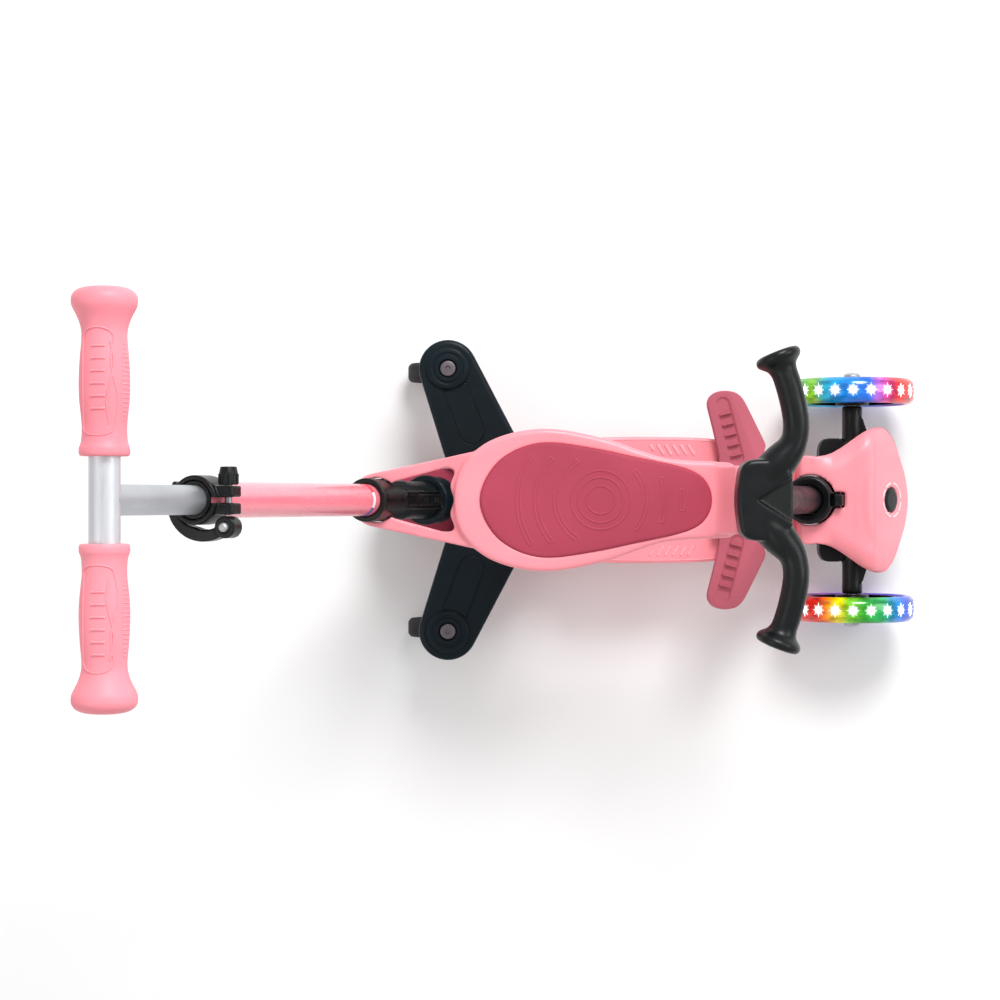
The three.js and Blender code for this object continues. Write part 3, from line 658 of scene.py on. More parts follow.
# ---------------------------------------------------------------- deck and footrests
DECK_EDGE = [(24, 55.5), (60, 57.6), (111, 57.8), (150, 56.3), (178, 51.5), (204, 44), (226, 39.5)]
DECK_LEGS = [((-141, 16.5, 35), (-60, 27, 54)), ((-88, 31.8, 50), (-60, 37, 70)),
    ((-78, 20, 46), (-60, 37, 56))]
# Each pocket under the deck is its rear, its front, its half width and its roof.
DECK_POCKETS = [(-58, 4, 34, 64), (24, 84, 50, 88), (90, 150, 50, 88), (156, 212, 38, 88)]


def build_deck():
    half = [(-92, 0), (-90, 30), (-70, 44), (-30, 54), (40, 60), (111, 60.5), (150, 59), (180, 54),
        (206, 46.5), (235.4, 42), (235.5, 0)]
    side = rounded([(-76, 44), (-76, 70.4), (12, 70.4), (16, DECK_TOP), (230, DECK_TOP), (235.4, 90),
        (235.4, 68), (215, 62), (60, 60), (-40, 50)], 3)
    body = slab("deck_body", even(half[:-2] + [(235.4, 41.9), (240, 0)], 8), 40, DECK_TOP)
    carve(body, [side_slab("side", side, -70, 70)], "INTERSECT")
    parts = [body]
    for s in (1, -1):
        for (x0, near, z0), (x1, far, z1) in DECK_LEGS:
            y0, y1 = span(s, near, far)
            parts.append(brick("leg", (x0, y0, z0), (x1, y1, z1)))
    pockets = [brick("pocket", (x0, -w, 30), (x1, w, top)) for x0, x1, w, top in DECK_POCKETS]
    pockets.append(brick("pin_room", (-80, -31.6, 57), (-74.2, 31.6, 72)))
    pockets.append(sweep("socket_room", [POST @ Vector((0, 0, z)) for z in (-70, 12)], 23.6, sides=12))
    deck = fuse("deck_shell", parts, pockets, 1.5, 5)
    dress(deck, PINK, FRAME_BODY, "deck")

    ribs = []
    for s in (1, -1):
        for k in range(6):
            x = 92 + k * 7.3
            reach = 5.5 if k == 0 else 9.5
            ends = [(x, s * 53, DECK_TOP - 0.7), (x + reach * 0.62, s * (53 - reach), DECK_TOP - 0.7)]
            ribs.append(sweep("rib", ends, 1.8, sides=3))
    for s in (1, -1):
        edge = [(x, s * w, DECK_TOP - 0.4) for x, w in DECK_EDGE]
        ribs.append(sweep("edge_line", smooth_path(edge), 0.8, sides=3))
    dress(merge("deck_grip_ribs", ribs), PINK, FRAME_BODY)


REST_HALF = [(157.3, 25), (157.3, 41), (152.3, 64), (145.2, 92), (147.6, 98.8), (153.3, 103.2),
    (162, 104.8), (172.4, 103.5), (178.4, 99.6), (182.4, 94), (190.9, 77), (203.2, 52), (200.3, 46),
    (200.3, 25)]


def build_footrests():
    low, high = (mm(corner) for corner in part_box("footrest_mount"))
    hinge = pivot("footrest_fold_left")
    rear, front = low.x + 4.6, high.x - 4.6
    bores = [sweep("pin_hole", [(low.x - 9, s * hinge.y, hinge.z), (high.x + 9, s * hinge.y, hinge.z)],
        3.3, sides=8) for _, s in SIDES]
    base = rounded(both_sides([(low.x, -22.8), (high.x, -22.8)]), 3, 4)
    parts = [slab("pad", base, low.z, high.z - 2)]
    for _, s in SIDES:
        y0, y1 = span(s, 18, 35)
        parts += [brick("lug", (x0, y0, low.z), (x1, y1, high.z)) for x0, x1 in ((low.x, rear),
            (front, high.x))]
    dress(fuse("footrest_bridge", parts, bores, 1.0, 3), PAD, FRAME_BODY, "footrest_mount")
    for name, s in SIDES:
        build_footrest(name, s, hinge)


def build_footrest(name, s, hinge):
    plate = slab("rest", mirrored(rounded(REST_HALF, 5, 4), s), 97, 106.8)
    knuckle = sweep("knuckle", [(157.3, s * hinge.y, hinge.z), (200.3, s * hinge.y, hinge.z)], 5.9,
        sides=10)
    tip, root = Vector((160.8, s * 91.5)), Vector((174.4, s * 40))
    along = (tip - root).normalized()
    turn = math.degrees(math.atan2(along.y, along.x))
    pill = arc(tip, 6.4, turn - 90, turn + 90, 12) + arc(root, 6.4, turn + 90, turn + 270, 12)
    bore = sweep("pin_hole", [(140, s * hinge.y, hinge.z), (216, s * hinge.y, hinge.z)], 3.3, sides=8)
    rest = fuse(f"footrest_plate_{name}", [plate, knuckle], [slab("dish", pill, 105.3, 110), bore], 0.8,
        3)

    def slope(point, normal):
        crease = 171 + (94.4 - abs(point.y)) * 0.402
        return (0, 0, -0.42 * max(0.0, point.x - crease) * blend(point.z, 99, 104))

    reshape(rest, slope)
    slits = []
    for k in range(5):
        centre = tip + (root - tip) * ((k + 0.95) * 0.19)
        place = shifted(centre.x, centre.y, 0) @ Matrix.Rotation(math.radians(turn - 90), 4, "Z")
        slits.append(brick("slit", (-5.6, -0.45, 103.6), (5.6, 0.45, 110), place))
    carve(rest, slits)
    dress(rest, REST, "rest_" + name, "footrest_" + name)
    pin = rod(f"footrest_hinge_{name}", 3, -27, 27, shifted(178.75, s * hinge.y, hinge.z)
        @ Matrix.Rotation(math.radians(90), 4, "Y"), edge=0.5)
    dress(pin, STEEL, FRAME_BODY, "footrest_pin_" + name)


# ---------------------------------------------------------------- nose, lock button and truck
NOSE = [(232, 0), (236, 41.3), (250, 41.6), (263, 44.6), (276, 52.3), (294, 64.8), (307, 69.4),
    (317, 68.2), (325, 59.8), (334, 40.8), (341, 20.8), (343.8, 0)]


def nose_side(inset):
    return rounded([(232.4 + inset, 84 - inset), (232.4 + inset, 114 - inset), (262, 121 - inset),
        (292, 124.6 - inset), (302 - inset / 2, 123.5 - inset), (346 - inset * 1.2, 71 - inset),
        (346 - inset * 1.2, 68 - inset), (332 - inset, 68 - inset), (320 - inset, 84 - inset)], 5, 5)


def build_nose():
    outer = slab("outer", even(NOSE, 8), 60, 130)
    carve(outer, [side_slab("side", nose_side(0), -76, 76)], "INTERSECT")
    inner = slab("inner", even(NOSE, 8, 4), 50, 130)
    carve(inner, [side_slab("side", nose_side(4.5), -76, 76)], "INTERSECT")
    button = middle("steering_lock_button")
    hole = sweep("button_hole", [button - LOCK_OUT * 20, button + LOCK_OUT * 20], 12.3, sides=14)
    socket = sweep("socket_room", [POST @ Vector((0, 0, z)) for z in (-70, 12)], 24, sides=14)
    tab = brick("tab_room", (10, -7.6, -16), (33, 7.6, 14), POST)
    cover = fuse("nose_shell", [outer], [inner, hole, socket, tab], 1.1, 12)

    def crown(point, normal):
        """Sides that fall away like a bell, and a low swell shaped like a D around the button."""
        edge = clamp(1 - (half_width(NOSE, point.x) - abs(point.y)) / 20)
        fall = 8.5 * edge * edge * blend(point.z, 86, 120) * blend(point.x, 246, 268)
        reach = (abs(point.x - 326) / 32) ** 2.6 + (abs(point.y) / 46) ** 2.6
        sink = 1.3 * blend(reach, 0.72, 1.35) * blend(point.x, 262, 284) if normal.z > 0.25 else 0
        return (0, 0, -fall - sink)

    reshape(cover, crown)
    dress(cover, PINK, FRAME_BODY, "nose_cover")
    turn = LOCK_OUT.to_track_quat("Z", "X").to_matrix().to_4x4()
    place = Matrix.Translation(button) @ turn
    cap = turned("lock_cap", [(0, -5), (11.5, -5), (11.5, 4.0), (8.6, 4.9), (0, 5.1)], 1.0, 4, place, 72)
    dress(cap, BLACK, "steering_lock", "steering_lock_button")
    segments = []
    for start, end in ((6, 40), (46, 82), (98, 134), (140, 174), (186, 220), (226, 262), (278, 314),
            (320, 354)):
        band = arc((0, 0), 17.0, start, end, 10) + arc((0, 0), 15.4, end, start, 10)
        segments.append(slab("segment", band, 3.4, 4.75, place))
    dress(merge("lock_ring", segments), PALE, FRAME_BODY)


def build_truck():
    half = [(258, 0), (258, 52), (261.5, 58.5), (266, 60), (279, 60), (283, 57), (286, 46), (292, 46),
        (292, 80), (300.5, 80), (305, 66), (307, 42), (311.4, 26), (312, 0)]
    outline = rounded(half + [(x, -y) for x, y in reversed(half[1:-1])], 2.5, 3)
    y_tube = 91.4
    parts = [slab("plate", outline, 52, 69), sweep("boss", [STEER @ Vector((0, 0, z)) for z in (-14, 14)],
        11, sides=10), rod("sleeve", 9.7, -y_tube, y_tube, axle_at(FRONT_AXLE), 48, 1.5)]
    for _, s in SIDES:
        parts.append(rod("collar", 9.9, 0, 7, Matrix.Translation(FRONT_AXLE
            + Vector((0, s * 84.2 - 3.5, 0))) @ ALONG_Y, 48, 1))
    bores = [sweep("axle_hole", [(FRONT_AXLE.x, y, FRONT_AXLE.z) for y in (-99, 99)], 4.3, sides=8),
        sweep("pin_hole", [STEER @ Vector((0, 0, z)) for z in (-30, 30)], 5.4, sides=8)]
    dress(fuse("truck_body", parts, bores, 1.0, 5), BLACK, "truck", "axle_truck")
    reach = 118.6
    axle = rod("axle_rod", 4, -reach, reach, axle_at(FRONT_AXLE), 40, 0.6)
    dress(axle, STEEL, "truck", "front_axle")
    for name, s in SIDES:
        spring = []
        for k in range(24 * 5 + 1):
            angle = 2 * math.pi * k / 24
            spring.append((284 + 5.2 * math.cos(angle), s * 24 + 5.2 * math.sin(angle),
                71.7 + 12.5 * k / 120))
        dress(sweep(f"lean_spring_{name}", spring, 0.95, sides=4), (STEEL[0], "wheel_rubber"), "truck",
            "return_spring_" + name)
        turn = ALONG_Y if s > 0 else SIDE_VIEW
        cap = turned(f"axle_nut_{name}", [(0, 0), (7.9, 0), (7.9, 2.6), (6, 4.2), (0, 4.9)], 0.9, 4,
            Matrix.Translation(FRONT_AXLE + Vector((0, s * 119, 0))) @ turn, 48)
        dress(cap, SILVER, "truck", "axle_cap_" + name)
    housing = frame["nodes"]["front_housing"]
    bolt = turned("kingpin", [(0, -20), (8, -20), (8, -14.6), (5, -14.6), (5, 42), (0, 42)], 0.6, 3,
        STEER, 40)
    dress(bolt, STEEL, FRAME_BODY, "kingpin_bolt")
    dress(fuse("nose_block", [copy_of(housing)], (), 1.2, 3), BLACK, FRAME_BODY, "front_housing")


def copy_of(node):
    """A fresh object with the same mesh as a CAD node, which itself stays as it is."""
    return add_object(node.name + "_copy", node.data.copy())


# ---------------------------------------------------------------- wheels
def flare_points(radius, waist, arms=4):
    out = []
    for k in range(arms * 2):
        angle = math.pi * k / arms
        size = radius if k % 2 == 0 else waist
        out.append((size * math.cos(angle), size * math.sin(angle)))
    return out


def build_front_wheel(name, tyre_look):
    axle = Vector((FRONT_AXLE.x, middle("front_tyre_" + name).y, FRONT_AXLE.z))
    crown = rounded(both_sides([(50.3, -10.6), (54.6, -12.9), (59.2, -8.4), (TYRE_RADIUS, -3)]), 2.2, 4)
    tyre = revolve(f"cast_tyre_{name}", crown, ALONG_Y, 160, True)
    tyre.data.shade_smooth()
    tyre.location = axle * MM
    dress(tyre, tyre_look, "front_wheel_" + name, "front_tyre_" + name)

    # Painted highlights: a glowing flare star with rays and a bright core sits over each LED on the tyre's
    # face.
    flare_shapes = []
    for k in range(LED_COUNT):
        turn = Matrix.Rotation(2 * math.pi * (k + 0.5) / LED_COUNT, 4, "Y")
        face = Matrix.Translation(axle) @ turn @ shifted(0, 0, TYRE_RADIUS - 0.5)
        diagonal = face @ Matrix.Rotation(math.radians(38 + 7 * (k % 3)), 4, "Z")
        flare_shapes.append(slab("star", flare_points(6.8, 0.35), 0, 0.4, face))
        flare_shapes.append(slab("ray", flare_points(6.4, 0.3), 0, 0.4, diagonal))
        flare_shapes.append(slab("spark", arc((0, 0), 3.3, 0, 340, 17), 0, 0.5, face))
    dress(merge(f"led_stars_{name}", flare_shapes), LED_FLARE_GLOW, "front_wheel_" + name)

    place = axle_at(axle)
    rim = turned("rim", [(39.5, -11.4), (49.8, -10.4), (49.8, 10.4), (39.5, 11.4), (43, 5), (43, -5)],
        1.2, 3, place, 128, True)
    hub = turned("hub", both_sides([(8.8, -12.9), (15.5, -12.9), (17.5, -6)]), 1.0, 3, place, 72, True)
    spokes = []
    for k in range(5):
        turn = Matrix.Rotation(math.radians(72 * k), 4, "Z")
        blade = slab("spoke", both_sides([(13, -6.5), (30, -4.2), (44.6, -8.5)]), -4.6, 4.6, place @ turn)
        spokes.append(soften(blade, 1.4, 3))
    web = ring("web", 16, 44.5, -1.6, 1.6, place)
    dress(merge(f"wheel_rim_{name}", [rim, hub, web] + spokes), BLACK, "front_wheel_" + name,
        "front_rim_" + name)
    bearing = ring(f"wheel_bearing_{name}", 4.4, 8.4, -12, 12, place, 48, 0.5)
    dress(bearing, STEEL, "front_wheel_" + name, "front_bearing_" + name)


def build_rear_wheel():
    place = axle_at(REAR_AXLE)
    crown = rounded(both_sides([(32.3, -9.6), (36, -11.9), (39.2, -8), (39.9, -3)]), 2, 4)
    dress(revolve("rear_roller", crown, place, 128, True), RUBBER, "rear_wheel", "rear_tyre")
    rim = turned("rear_core", both_sides([(8.8, -11.9), (15, -11.9), (17, -5), (26, -5), (31.9, -9)]), 1,
        3, place, closed=True)
    dress(rim, BLACK, "rear_wheel", "rear_rim")
    bearing = ring("rear_race", 4.4, 8.4, -12, 12, place, 48, 0.5)
    dress(bearing, STEEL, "rear_wheel", "rear_bearing")
    axle = rod("rear_bolt", 4, -28, 28, place, 40, 0.6)
    dress(axle, STEEL, FRAME_BODY, "rear_axle")

    pin = pivot("brake_press")
    arch = arc((REAR_AXLE.x, REAR_AXLE.z), 47.3, 27, 150, 40) + arc((REAR_AXLE.x, REAR_AXLE.z), 43.5, 150,
        27, 40)
    cover = side_slab("arch", arch, -30.8, 30.8)
    half = rounded([(-60, 30.3), (-120, 30.3), (-170, 24), (-175, 14)], 10, 5, False)
    carve(cover, [slab("plan", both_sides(half), 40, 100)], "INTERSECT")
    knuckle = rod("knuckle", 5.9, -30.3, 30.3, axle_at(pin), 40)
    bore = rod("bore", 3.4, -40, 40, axle_at(pin), 24)
    fender = fuse("foot_brake", [cover, knuckle], [bore], 0.9, 4)
    dress(fender, PAD, "brake", "brake_fender")
    treads = []
    for k in range(5):
        angle = math.radians(88 + 9 * k)
        x, z = REAR_AXLE.x + 47.2 * math.cos(angle), REAR_AXLE.z + 47.2 * math.sin(angle)
        treads.append(sweep("tread", [(x, -19, z), (x, 19, z)], 0.6, sides=3))
    dress(merge("brake_treads", treads), PAD, "brake")
    bolt = rod("brake_bolt", 3, -36.5, 36.5, axle_at(pin), edge=0.5)
    dress(bolt, STEEL, FRAME_BODY, "brake_pin")


# ---------------------------------------------------------------- post, socket and toddler handlebar
def build_front_post():
    profile = rounded([(13.4, -50), (22.3, -50), (22.3, -4), (23, -3), (23, 3), (20.6, 4.6), (13.6, 3)],
        1.2, 4)
    collar = revolve("collar", profile, POST, 96, True)
    lug = brick("lug", (19, -7, -14), (26, 7, -5), POST)
    window = brick("window", (20.6, -5.7, -12.5), (40, 5.7, 4.5), POST)
    bore = rod("bore", 13.5, -60, 20, POST, 48)
    dress(fuse("post_socket", [collar, lug], [window, bore], 0.7, 3), BLACK, FRAME_BODY,
        "front_socket_collar")
    tab = soften(brick("socket_tab", (24, -5.3, -12), (31.9, 5.3, 0.4), POST), 1.4, 4)
    dress(tab, BLACK, "socket_release", "socket_release_button")
    ribs = [sweep("rib", [(31.6, -3.8, z), (31.6, 3.8, z)], 0.5, POST, sides=3) for z in (-9, -6.5, -4)]
    dress(merge("socket_tab_ribs", ribs), BLACK, "socket_release")
    tube = ring("lacquered_post", 10.6, 12.9, -48, 223.6, POST, edge=0.4, cuts=2)
    dress(tube, GLOSS, FRAME_BODY, "front_post")


def build_handlebar():
    pin = middle("handlebar_pin")
    hub_half = [(147.3, 0), (148.6, 16), (151, 28), (157, 33.2), (172, 34.2), (185, 31.6), (193.6, 22.6),
        (195.2, 11), (195, 0)]
    parts = [soften(slab("hub", even(hub_half, 10), 328, 361.8), 4, 4)]
    for _, s in SIDES:
        y0, y1 = span(s, 20.8, 28.4)
        parts.append(side_slab("cheek", rounded([(155.5, 299.2), (151.5, 342), (176, 342),
            (169.2, 299.2)], 5, 5), y0, y1))
        path = smooth_path([(x, s * y, z) for x, y, z in ((170, 15, 345), (184, 32, 348.5),
            (194.5, 46, 350.5), (197.8, 61, 351.3), (196, 78, 351.3), (190.5, 100, 350),
            (181.4, 124.4, 348))], 8)
        count = len(path)
        radii = [1.0 + 0.42 * (1 - blend(k / count, 0.08, 0.42)) for k in range(count)]
        parts.append(sweep("bar", path, 11.3, sides=10, radii=radii))
        end = Vector(path[-1])
        along = end - Vector(path[-3])
        place = Matrix.Translation(end) @ along.to_track_quat("Z", "X").to_matrix().to_4x4()
        knob = [(0, -20), (11, -20), (12.4, -13), (17.4, -9), (19.7, -6.4), (19.7, -2.6), (17.2, 0),
            (0, 0)]
        parts.append(turned("flare", knob, 3, 5, place, 64))
    wedge = [(164, 0, 359.5), (206, 27, 350.2), (206, -27, 350.2)]
    recess = make("recess", wedge + [(x, y, 380) for x, y, _ in wedge],
        [(0, 2, 1), (3, 4, 5), (0, 1, 4, 3), (1, 2, 5, 4), (2, 0, 3, 5)])
    bores = [rod("pin_bore", 4.3, -40, 40, axle_at(pin)), rod("post_bore", 13.3, 150, 225.6, POST, 48)]
    bar = fuse("toddler_handlebar", parts, bores + [recess], 1.0, 7)
    dress(bar, BLACK, FRAME_BODY, "handlebar")
    profile = rounded(both_sides([(0, -31.4), (5.4, -31.4), (6.5, -30.4), (6.5, -28.9), (4, -28.7)]), 0.5,
        3, False)
    dress(revolve("seat_cross_pin", profile, axle_at(pin), 48), STEEL, FRAME_BODY, "handlebar_pin")


# ---------------------------------------------------------------- seat
PAD_HALF = [(-70, 0), (-66.5, 15), (-57, 30.5), (-47, 39.4), (-31, 47.4), (-10, 51.2), (31, 46),
    (67, 38.4), (104, 30.6), (118, 26), (127.5, 20), (133.8, 11), (136, 0)]


def build_seat():
    shell_half = [(-93, 0), (-87, 28), (-64, 51), (-16.5, 63.5), (42, 54.5), (70, 45), (92, 38),
        (118, 35), (142, 34), (156, 31), (160, 0)]
    pin = middle("handlebar_pin")
    bowl = soften(slab("bowl", even(shell_half, 10), SEAT_TOP - 14, SEAT_TOP), 4, 5)
    sleeve = bar_foot - Vector((math.tan(math.acos(BAR_UP.z)) * 100, 0, -100))
    tail_plan = [(-40, -44), (-40, 44), (-74, 43.5)] + arc((sleeve.x, 0), 24.3, 99, 261,
        20) + [(-74, -43.5)]
    tail = slab("tail", tail_plan, 215, 262)
    side = rounded([(-195, 227.2), (-195, 235.8), (-112, 238), (-80, 249), (-40, 250), (-40, 242),
        (-90, 230), (-120, 227.2)], 4, 4)
    carve(tail, [side_slab("side", side, -52, 52)], "INTERSECT")
    gap = rounded([(-150, 15.5), (-150, -15.5), (-99, -29.5), (-91.5, -26), (-97, -12.5), (-92.6, 0),
        (-97, 12.5), (-91.5, 26), (-99, 29.5)], 4, 5)
    carve(tail, [slab("gap", gap, 210, 270)])
    neck = brick("neck", (153.2, -19.8, 290), (168, 19.8, 306))
    rise = smooth_path([(134, SEAT_TOP - 1.5, 0), (141.2, SEAT_TOP + 3, 0), (146.6, SEAT_TOP + 12, 0),
        (150.6, SEAT_TOP + 26, 0), (152.2, 297.8, 0)], 5)
    ramp = side_slab("ramp", [(x, z) for x, z, _ in rise] + [(170.2, 297.8), (170.2, 242), (134, 242)],
        -29.8, 29.8)
    eye = rod("eye", 10.2, -19.8, 19.8, axle_at(pin), 48)
    cutters = [slab("pad_well", even(PAD_HALF, 10, -0.7), SEAT_TOP - 4.9, SEAT_TOP + 20),
        rod("sleeve_room", 19.9, 55, 155, BAR, 96), rod("pin_bore", 4.3, -30, 30, axle_at(pin)),
        brick("post_room", (170.4, -31, 235), (190, 31, 300)), brick("post_room", (168.2, -31, 299),
        (190, 31, 330))]
    shell = fuse("seat_body", [bowl, tail, neck, eye, ramp], cutters, 1.1, 5)
    dress(shell, PINK, FRAME_BODY, "seat_shell")

    pad = soften(slab("seat_cushion", even(PAD_HALF, 12, 0.2), SEAT_TOP - 4.5, SEAT_TOP + 1.6), 2, 5)
    reskin(pad, 1.2)
    settle(pad)
    top = (SEAT_TOP + 1.6) * MM
    centre_x, reach_x, reach_y = 0.02, 0.11, 0.05
    for vertex in pad.data.vertices:
        rise = max(0.0, 1 - ((vertex.co.x - centre_x) / reach_x) ** 2 - (vertex.co.y / reach_y) ** 2)
        lift = max(0.0, (vertex.co.z - top + 0.003) / 0.003)
        vertex.co.z += 0.0033 * rise * min(1.0, lift)
    relax(pad, 5)
    dress(pad, PAD, FRAME_BODY, "seat_pad")

    def pad_height(x, y):
        rise = max(0.0, 1 - ((x * MM - centre_x) / reach_x) ** 2 - (y * MM / reach_y) ** 2)
        return SEAT_TOP + 0.85 + 3.3 * rise

    relief = []
    centre = 37.0
    for radius in (12.4, 20.0, 26.0):
        loop = [(centre + radius * math.cos(a), radius * math.sin(a))
            for a in [2 * math.pi * k / 72 for k in range(72)]]
        relief.append(sweep("ring", [(x, y, pad_height(x, y)) for x, y in loop], 1.35, cyclic=True,
            sides=4))
    for radius, back_reach, front_reach in ((38.2, 60, 41), (55.4, 41, 20.5), (71.2, 33, 7.5)):
        for facing, reach in ((180, back_reach), (0, front_reach)):
            band = arc((centre, 0), radius, facing - reach, facing + reach, 40)
            band += arc((centre, 0), radius + 3.4, facing + reach, facing - reach, 40)
            band = rounded(band, 1.5, 2)
            relief.append(sweep("bow", [(x, y, pad_height(x, y)) for x, y in band], 1.25, cyclic=True,
                sides=3))
    dress(merge("seat_relief", relief), PAD, FRAME_BODY)

    low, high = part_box("seat_pillar")
    foot, head = low.z / MM, high.z / MM
    column = [(0, foot), (25.8, foot), (25.8, foot + 5), (18, foot + 14), (16, foot + 60),
        (18, head - 17), (25.8, head - 6), (25.8, head), (0, head)]
    place = shifted(middle("seat_pillar").x, 0, 0)
    dress(turned("seat_column", column, 3, 4, place, 72), BLACK, FRAME_BODY, "seat_pillar")


# ---------------------------------------------------------------- rear yoke and casters
def arm_outline(s, grow, tip_radius=28.0):
    caster = pivot("caster_swivel_left")
    tip = arc((caster.x, caster.y), tip_radius + grow, 28, 193, 20)
    return mirrored([(-38 + grow, 64)] + tip + [(-105 - grow, 41)], s)


def build_yoke():
    core = [(12, 26), (-10, 52), (-38, 64), (-48, 78), (-104, 58), (-105, 40), (-104.5, 34.4),
        (-74, 34.4)]
    parts = [soften(slab("core", both_sides(core), 71.2, YOKE_TOP), 2.5, 3)]
    parts += [soften(slab("arm", arm_outline(s, 0), 71.2, YOKE_TOP), 3.5, 4) for _, s in SIDES]
    parts.append(side_slab("bridge", rounded([(-112, 99), (-112, 122), (-80, 112), (-60, YOKE_TOP - 2),
        (-60, 80), (-73.5, 80), (-75, 96)], 2, 3), -15, 15))
    parts.append(turned("socket", [(0, -31), (22.4, -31), (22.4, -6), (23.6, -5), (23.6, -0.6), (22, 0),
        (0, 0)], 1.2, 4, BAR))
    cutters = [rod("bar_bore", 15.6, -28, 10, BAR, 64)]
    caster = pivot("caster_swivel_left")
    for _, s in SIDES:
        well = mirrored([(-62, 66), (-86, 112), (-104, 100), (-92, 56)], s)
        cutters.append(slab("well", rounded(well, 5, 4), 60, 90))
        cutters.append(rod("screw_bore", 4.6, 60, 110, shifted(caster.x, s * caster.y, 0)))
    yoke = fuse("outrigger_yoke", parts, cutters, 1.2, 5)
    grooves = []
    for _, s in SIDES:
        caster = Vector((pivot("caster_swivel_left").x, s * pivot("caster_swivel_left").y))
        root = Vector((-79.3, s * 65.6))
        along = (caster - root).normalized()
        turn = math.degrees(math.atan2(along.y, along.x))
        start = root + along * 42
        pill = arc(root, 12.1, turn + 90, turn + 270, 24) + arc(start, 12.1, turn - 90, turn - 72, 3)
        pill += arc(start, 12.1, turn + 72, turn + 90, 3)
        grooves.append(sweep("groove", [(x, y, YOKE_TOP + 0.15) for x, y in pill], 0.95, cyclic=True,
            sides=4))
    carve(yoke, grooves)
    dress(yoke, NAVY, FRAME_BODY, "rear_yoke")

    for name, s in SIDES:
        caster = Vector((pivot("caster_swivel_left").x, s * pivot("caster_swivel_left").y, 0))
        place = Matrix.Translation(caster)
        steps = rounded([(8.7, 96.5), (20.3, 96.5), (20.3, 98.2), (18.6, 99.6), (15.4, 99.8),
            (15.2, 99.0), (13.0, 99.0), (12.8, 100.3), (8.9, 100.4)], 0.7, 3)
        cap = revolve(f"arm_boss_{name}", steps, place, 96, True)
        dress(cap, NAVY, FRAME_BODY, "arm_cap_" + name)
        head = turned("head", [(0, 96.4), (7.8, 96.4), (7.8, 98.6), (6.8, 99.5), (0, 99.5)], 0.6, 3,
            place, 64)
        hex_cut = [(3.1 * math.cos(math.radians(60 * k)), 3.1 * math.sin(math.radians(60 * k)))
            for k in range(6)]
        carve(head, [slab("socket", hex_cut, 97.2, 104, place)])
        shank = revolve("shank", [(0, 58.4), (3.6, 58.4), (4, 59), (4, 96.6), (0, 96.6)], place, 32)
        dress(merge(f"caster_bolt_{name}", [head, shank]), SCREW, FRAME_BODY, "caster_screw_" + name)
        build_caster(name, caster)


def build_caster(name, caster):
    roll = pivot("caster_roll_" + name)
    crown = [(-5 + 17.8 * math.cos(a), 15.3 * math.sin(a)) for a in [2 * math.pi * k / 40
        for k in range(40)]]
    place = Matrix.Translation(caster)
    parts = [slab("crown", crown, 55.2, 69.6, place)]
    cheek = rounded([(-24, 19.4), (-8, 19.4), (11.6, 56), (11.6, 60), (-20, 60), (-25.6, 30)], 5, 4)
    for inner in (1, -1):
        y0, y1 = span(inner, 12.3, 15.3)
        parts.append(side_slab("cheek", cheek, y0, y1, place))
    cutters = [rod("bore", 4.5, 50, 80, place), brick("wheel_room", (-60, -12.2, 0), (40, 12.2, 55.6),
        place), rod("axle_bore", 3.4, -20, 20, axle_at(roll), 24)]
    dress(fuse(f"caster_yoke_{name}", parts, cutters, 0.8, 3), BLACK, "caster_" + name,
        "caster_fork_" + name)
    wheel = axle_at(roll)
    profile = rounded(both_sides([(3.5, -11), (9, -11), (11, -8), (19.5, -8), (21.8, -9.6), (24.9, -6)]),
        1.6, 4)
    dress(revolve(f"caster_roller_{name}", profile, wheel, 96, True), RUBBER, "caster_roller_" + name,
        "caster_wheel_" + name)
    bolt = rod(f"caster_pin_{name}", 3, -16.5, 16.5, wheel, edge=0.6)
    dress(bolt, STEEL, "caster_" + name, "caster_axle_" + name)


# ---------------------------------------------------------------- push bar
def build_bar_foot():
    profile = rounded([(0, -27.4), (13.5, -27.4), (15.1, -25), (15.1, 0.6), (17.4, 0.6), (17.4, 59),
        (18.8, 61.5), (18.8, 126), (19.5, 128), (19.5, 133.9), (0, 133.9)], 1.2, 4, False)
    body = revolve("body", profile, BAR, 96)
    frame_block = brick("frame", (13, -8, 1), (20.1, 8, 86), BAR)
    ribs = []
    for s in (1, -1):
        for angle in (62, 80, 98):
            turn = Matrix.Rotation(math.radians(angle * s), 4, "Z")
            ribs.append(brick("rib", (17.6, -1.6, 68), (19.3, 1.6, 122), BAR @ turn))
    cutters = [rod("tube_bore", 14.5, 64, 140, BAR, 72), brick("latch_room", (11.5, -6.6, 2.6),
        (30, 6.6, 59.4), BAR), brick("frame_dish", (19.3, -5.2, 63), (24, 5.2, 83), BAR)]
    foot = fuse("bar_socket_plug", [body, frame_block] + ribs, cutters, 0.8, 3)
    dress(foot, BLACK, "push_bar", "bar_foot")
    button = soften(brick("latch_button", (15.2, -6.1, 3.2), (20.3, 6.1, 58.8), BAR), 1.4, 4)
    dress(button, BLACK, "latch", "foot_latch")
    frame_line = [(20.4, y, z) for y, z in rounded([(-4.2, 8), (4.2, 8), (4.2, 54), (-4.2, 54)], 2, 3)]
    lines = [sweep("button_frame", frame_line, 0.5, BAR, cyclic=True, sides=3)]
    lines += [sweep("button_rib", [(20.3, -2.6, z), (20.3, 2.6, z)], 0.6, BAR, sides=3)
        for z in (14, 18, 22, 40, 44, 48)]
    dress(merge("latch_relief", lines), BLACK, "latch")


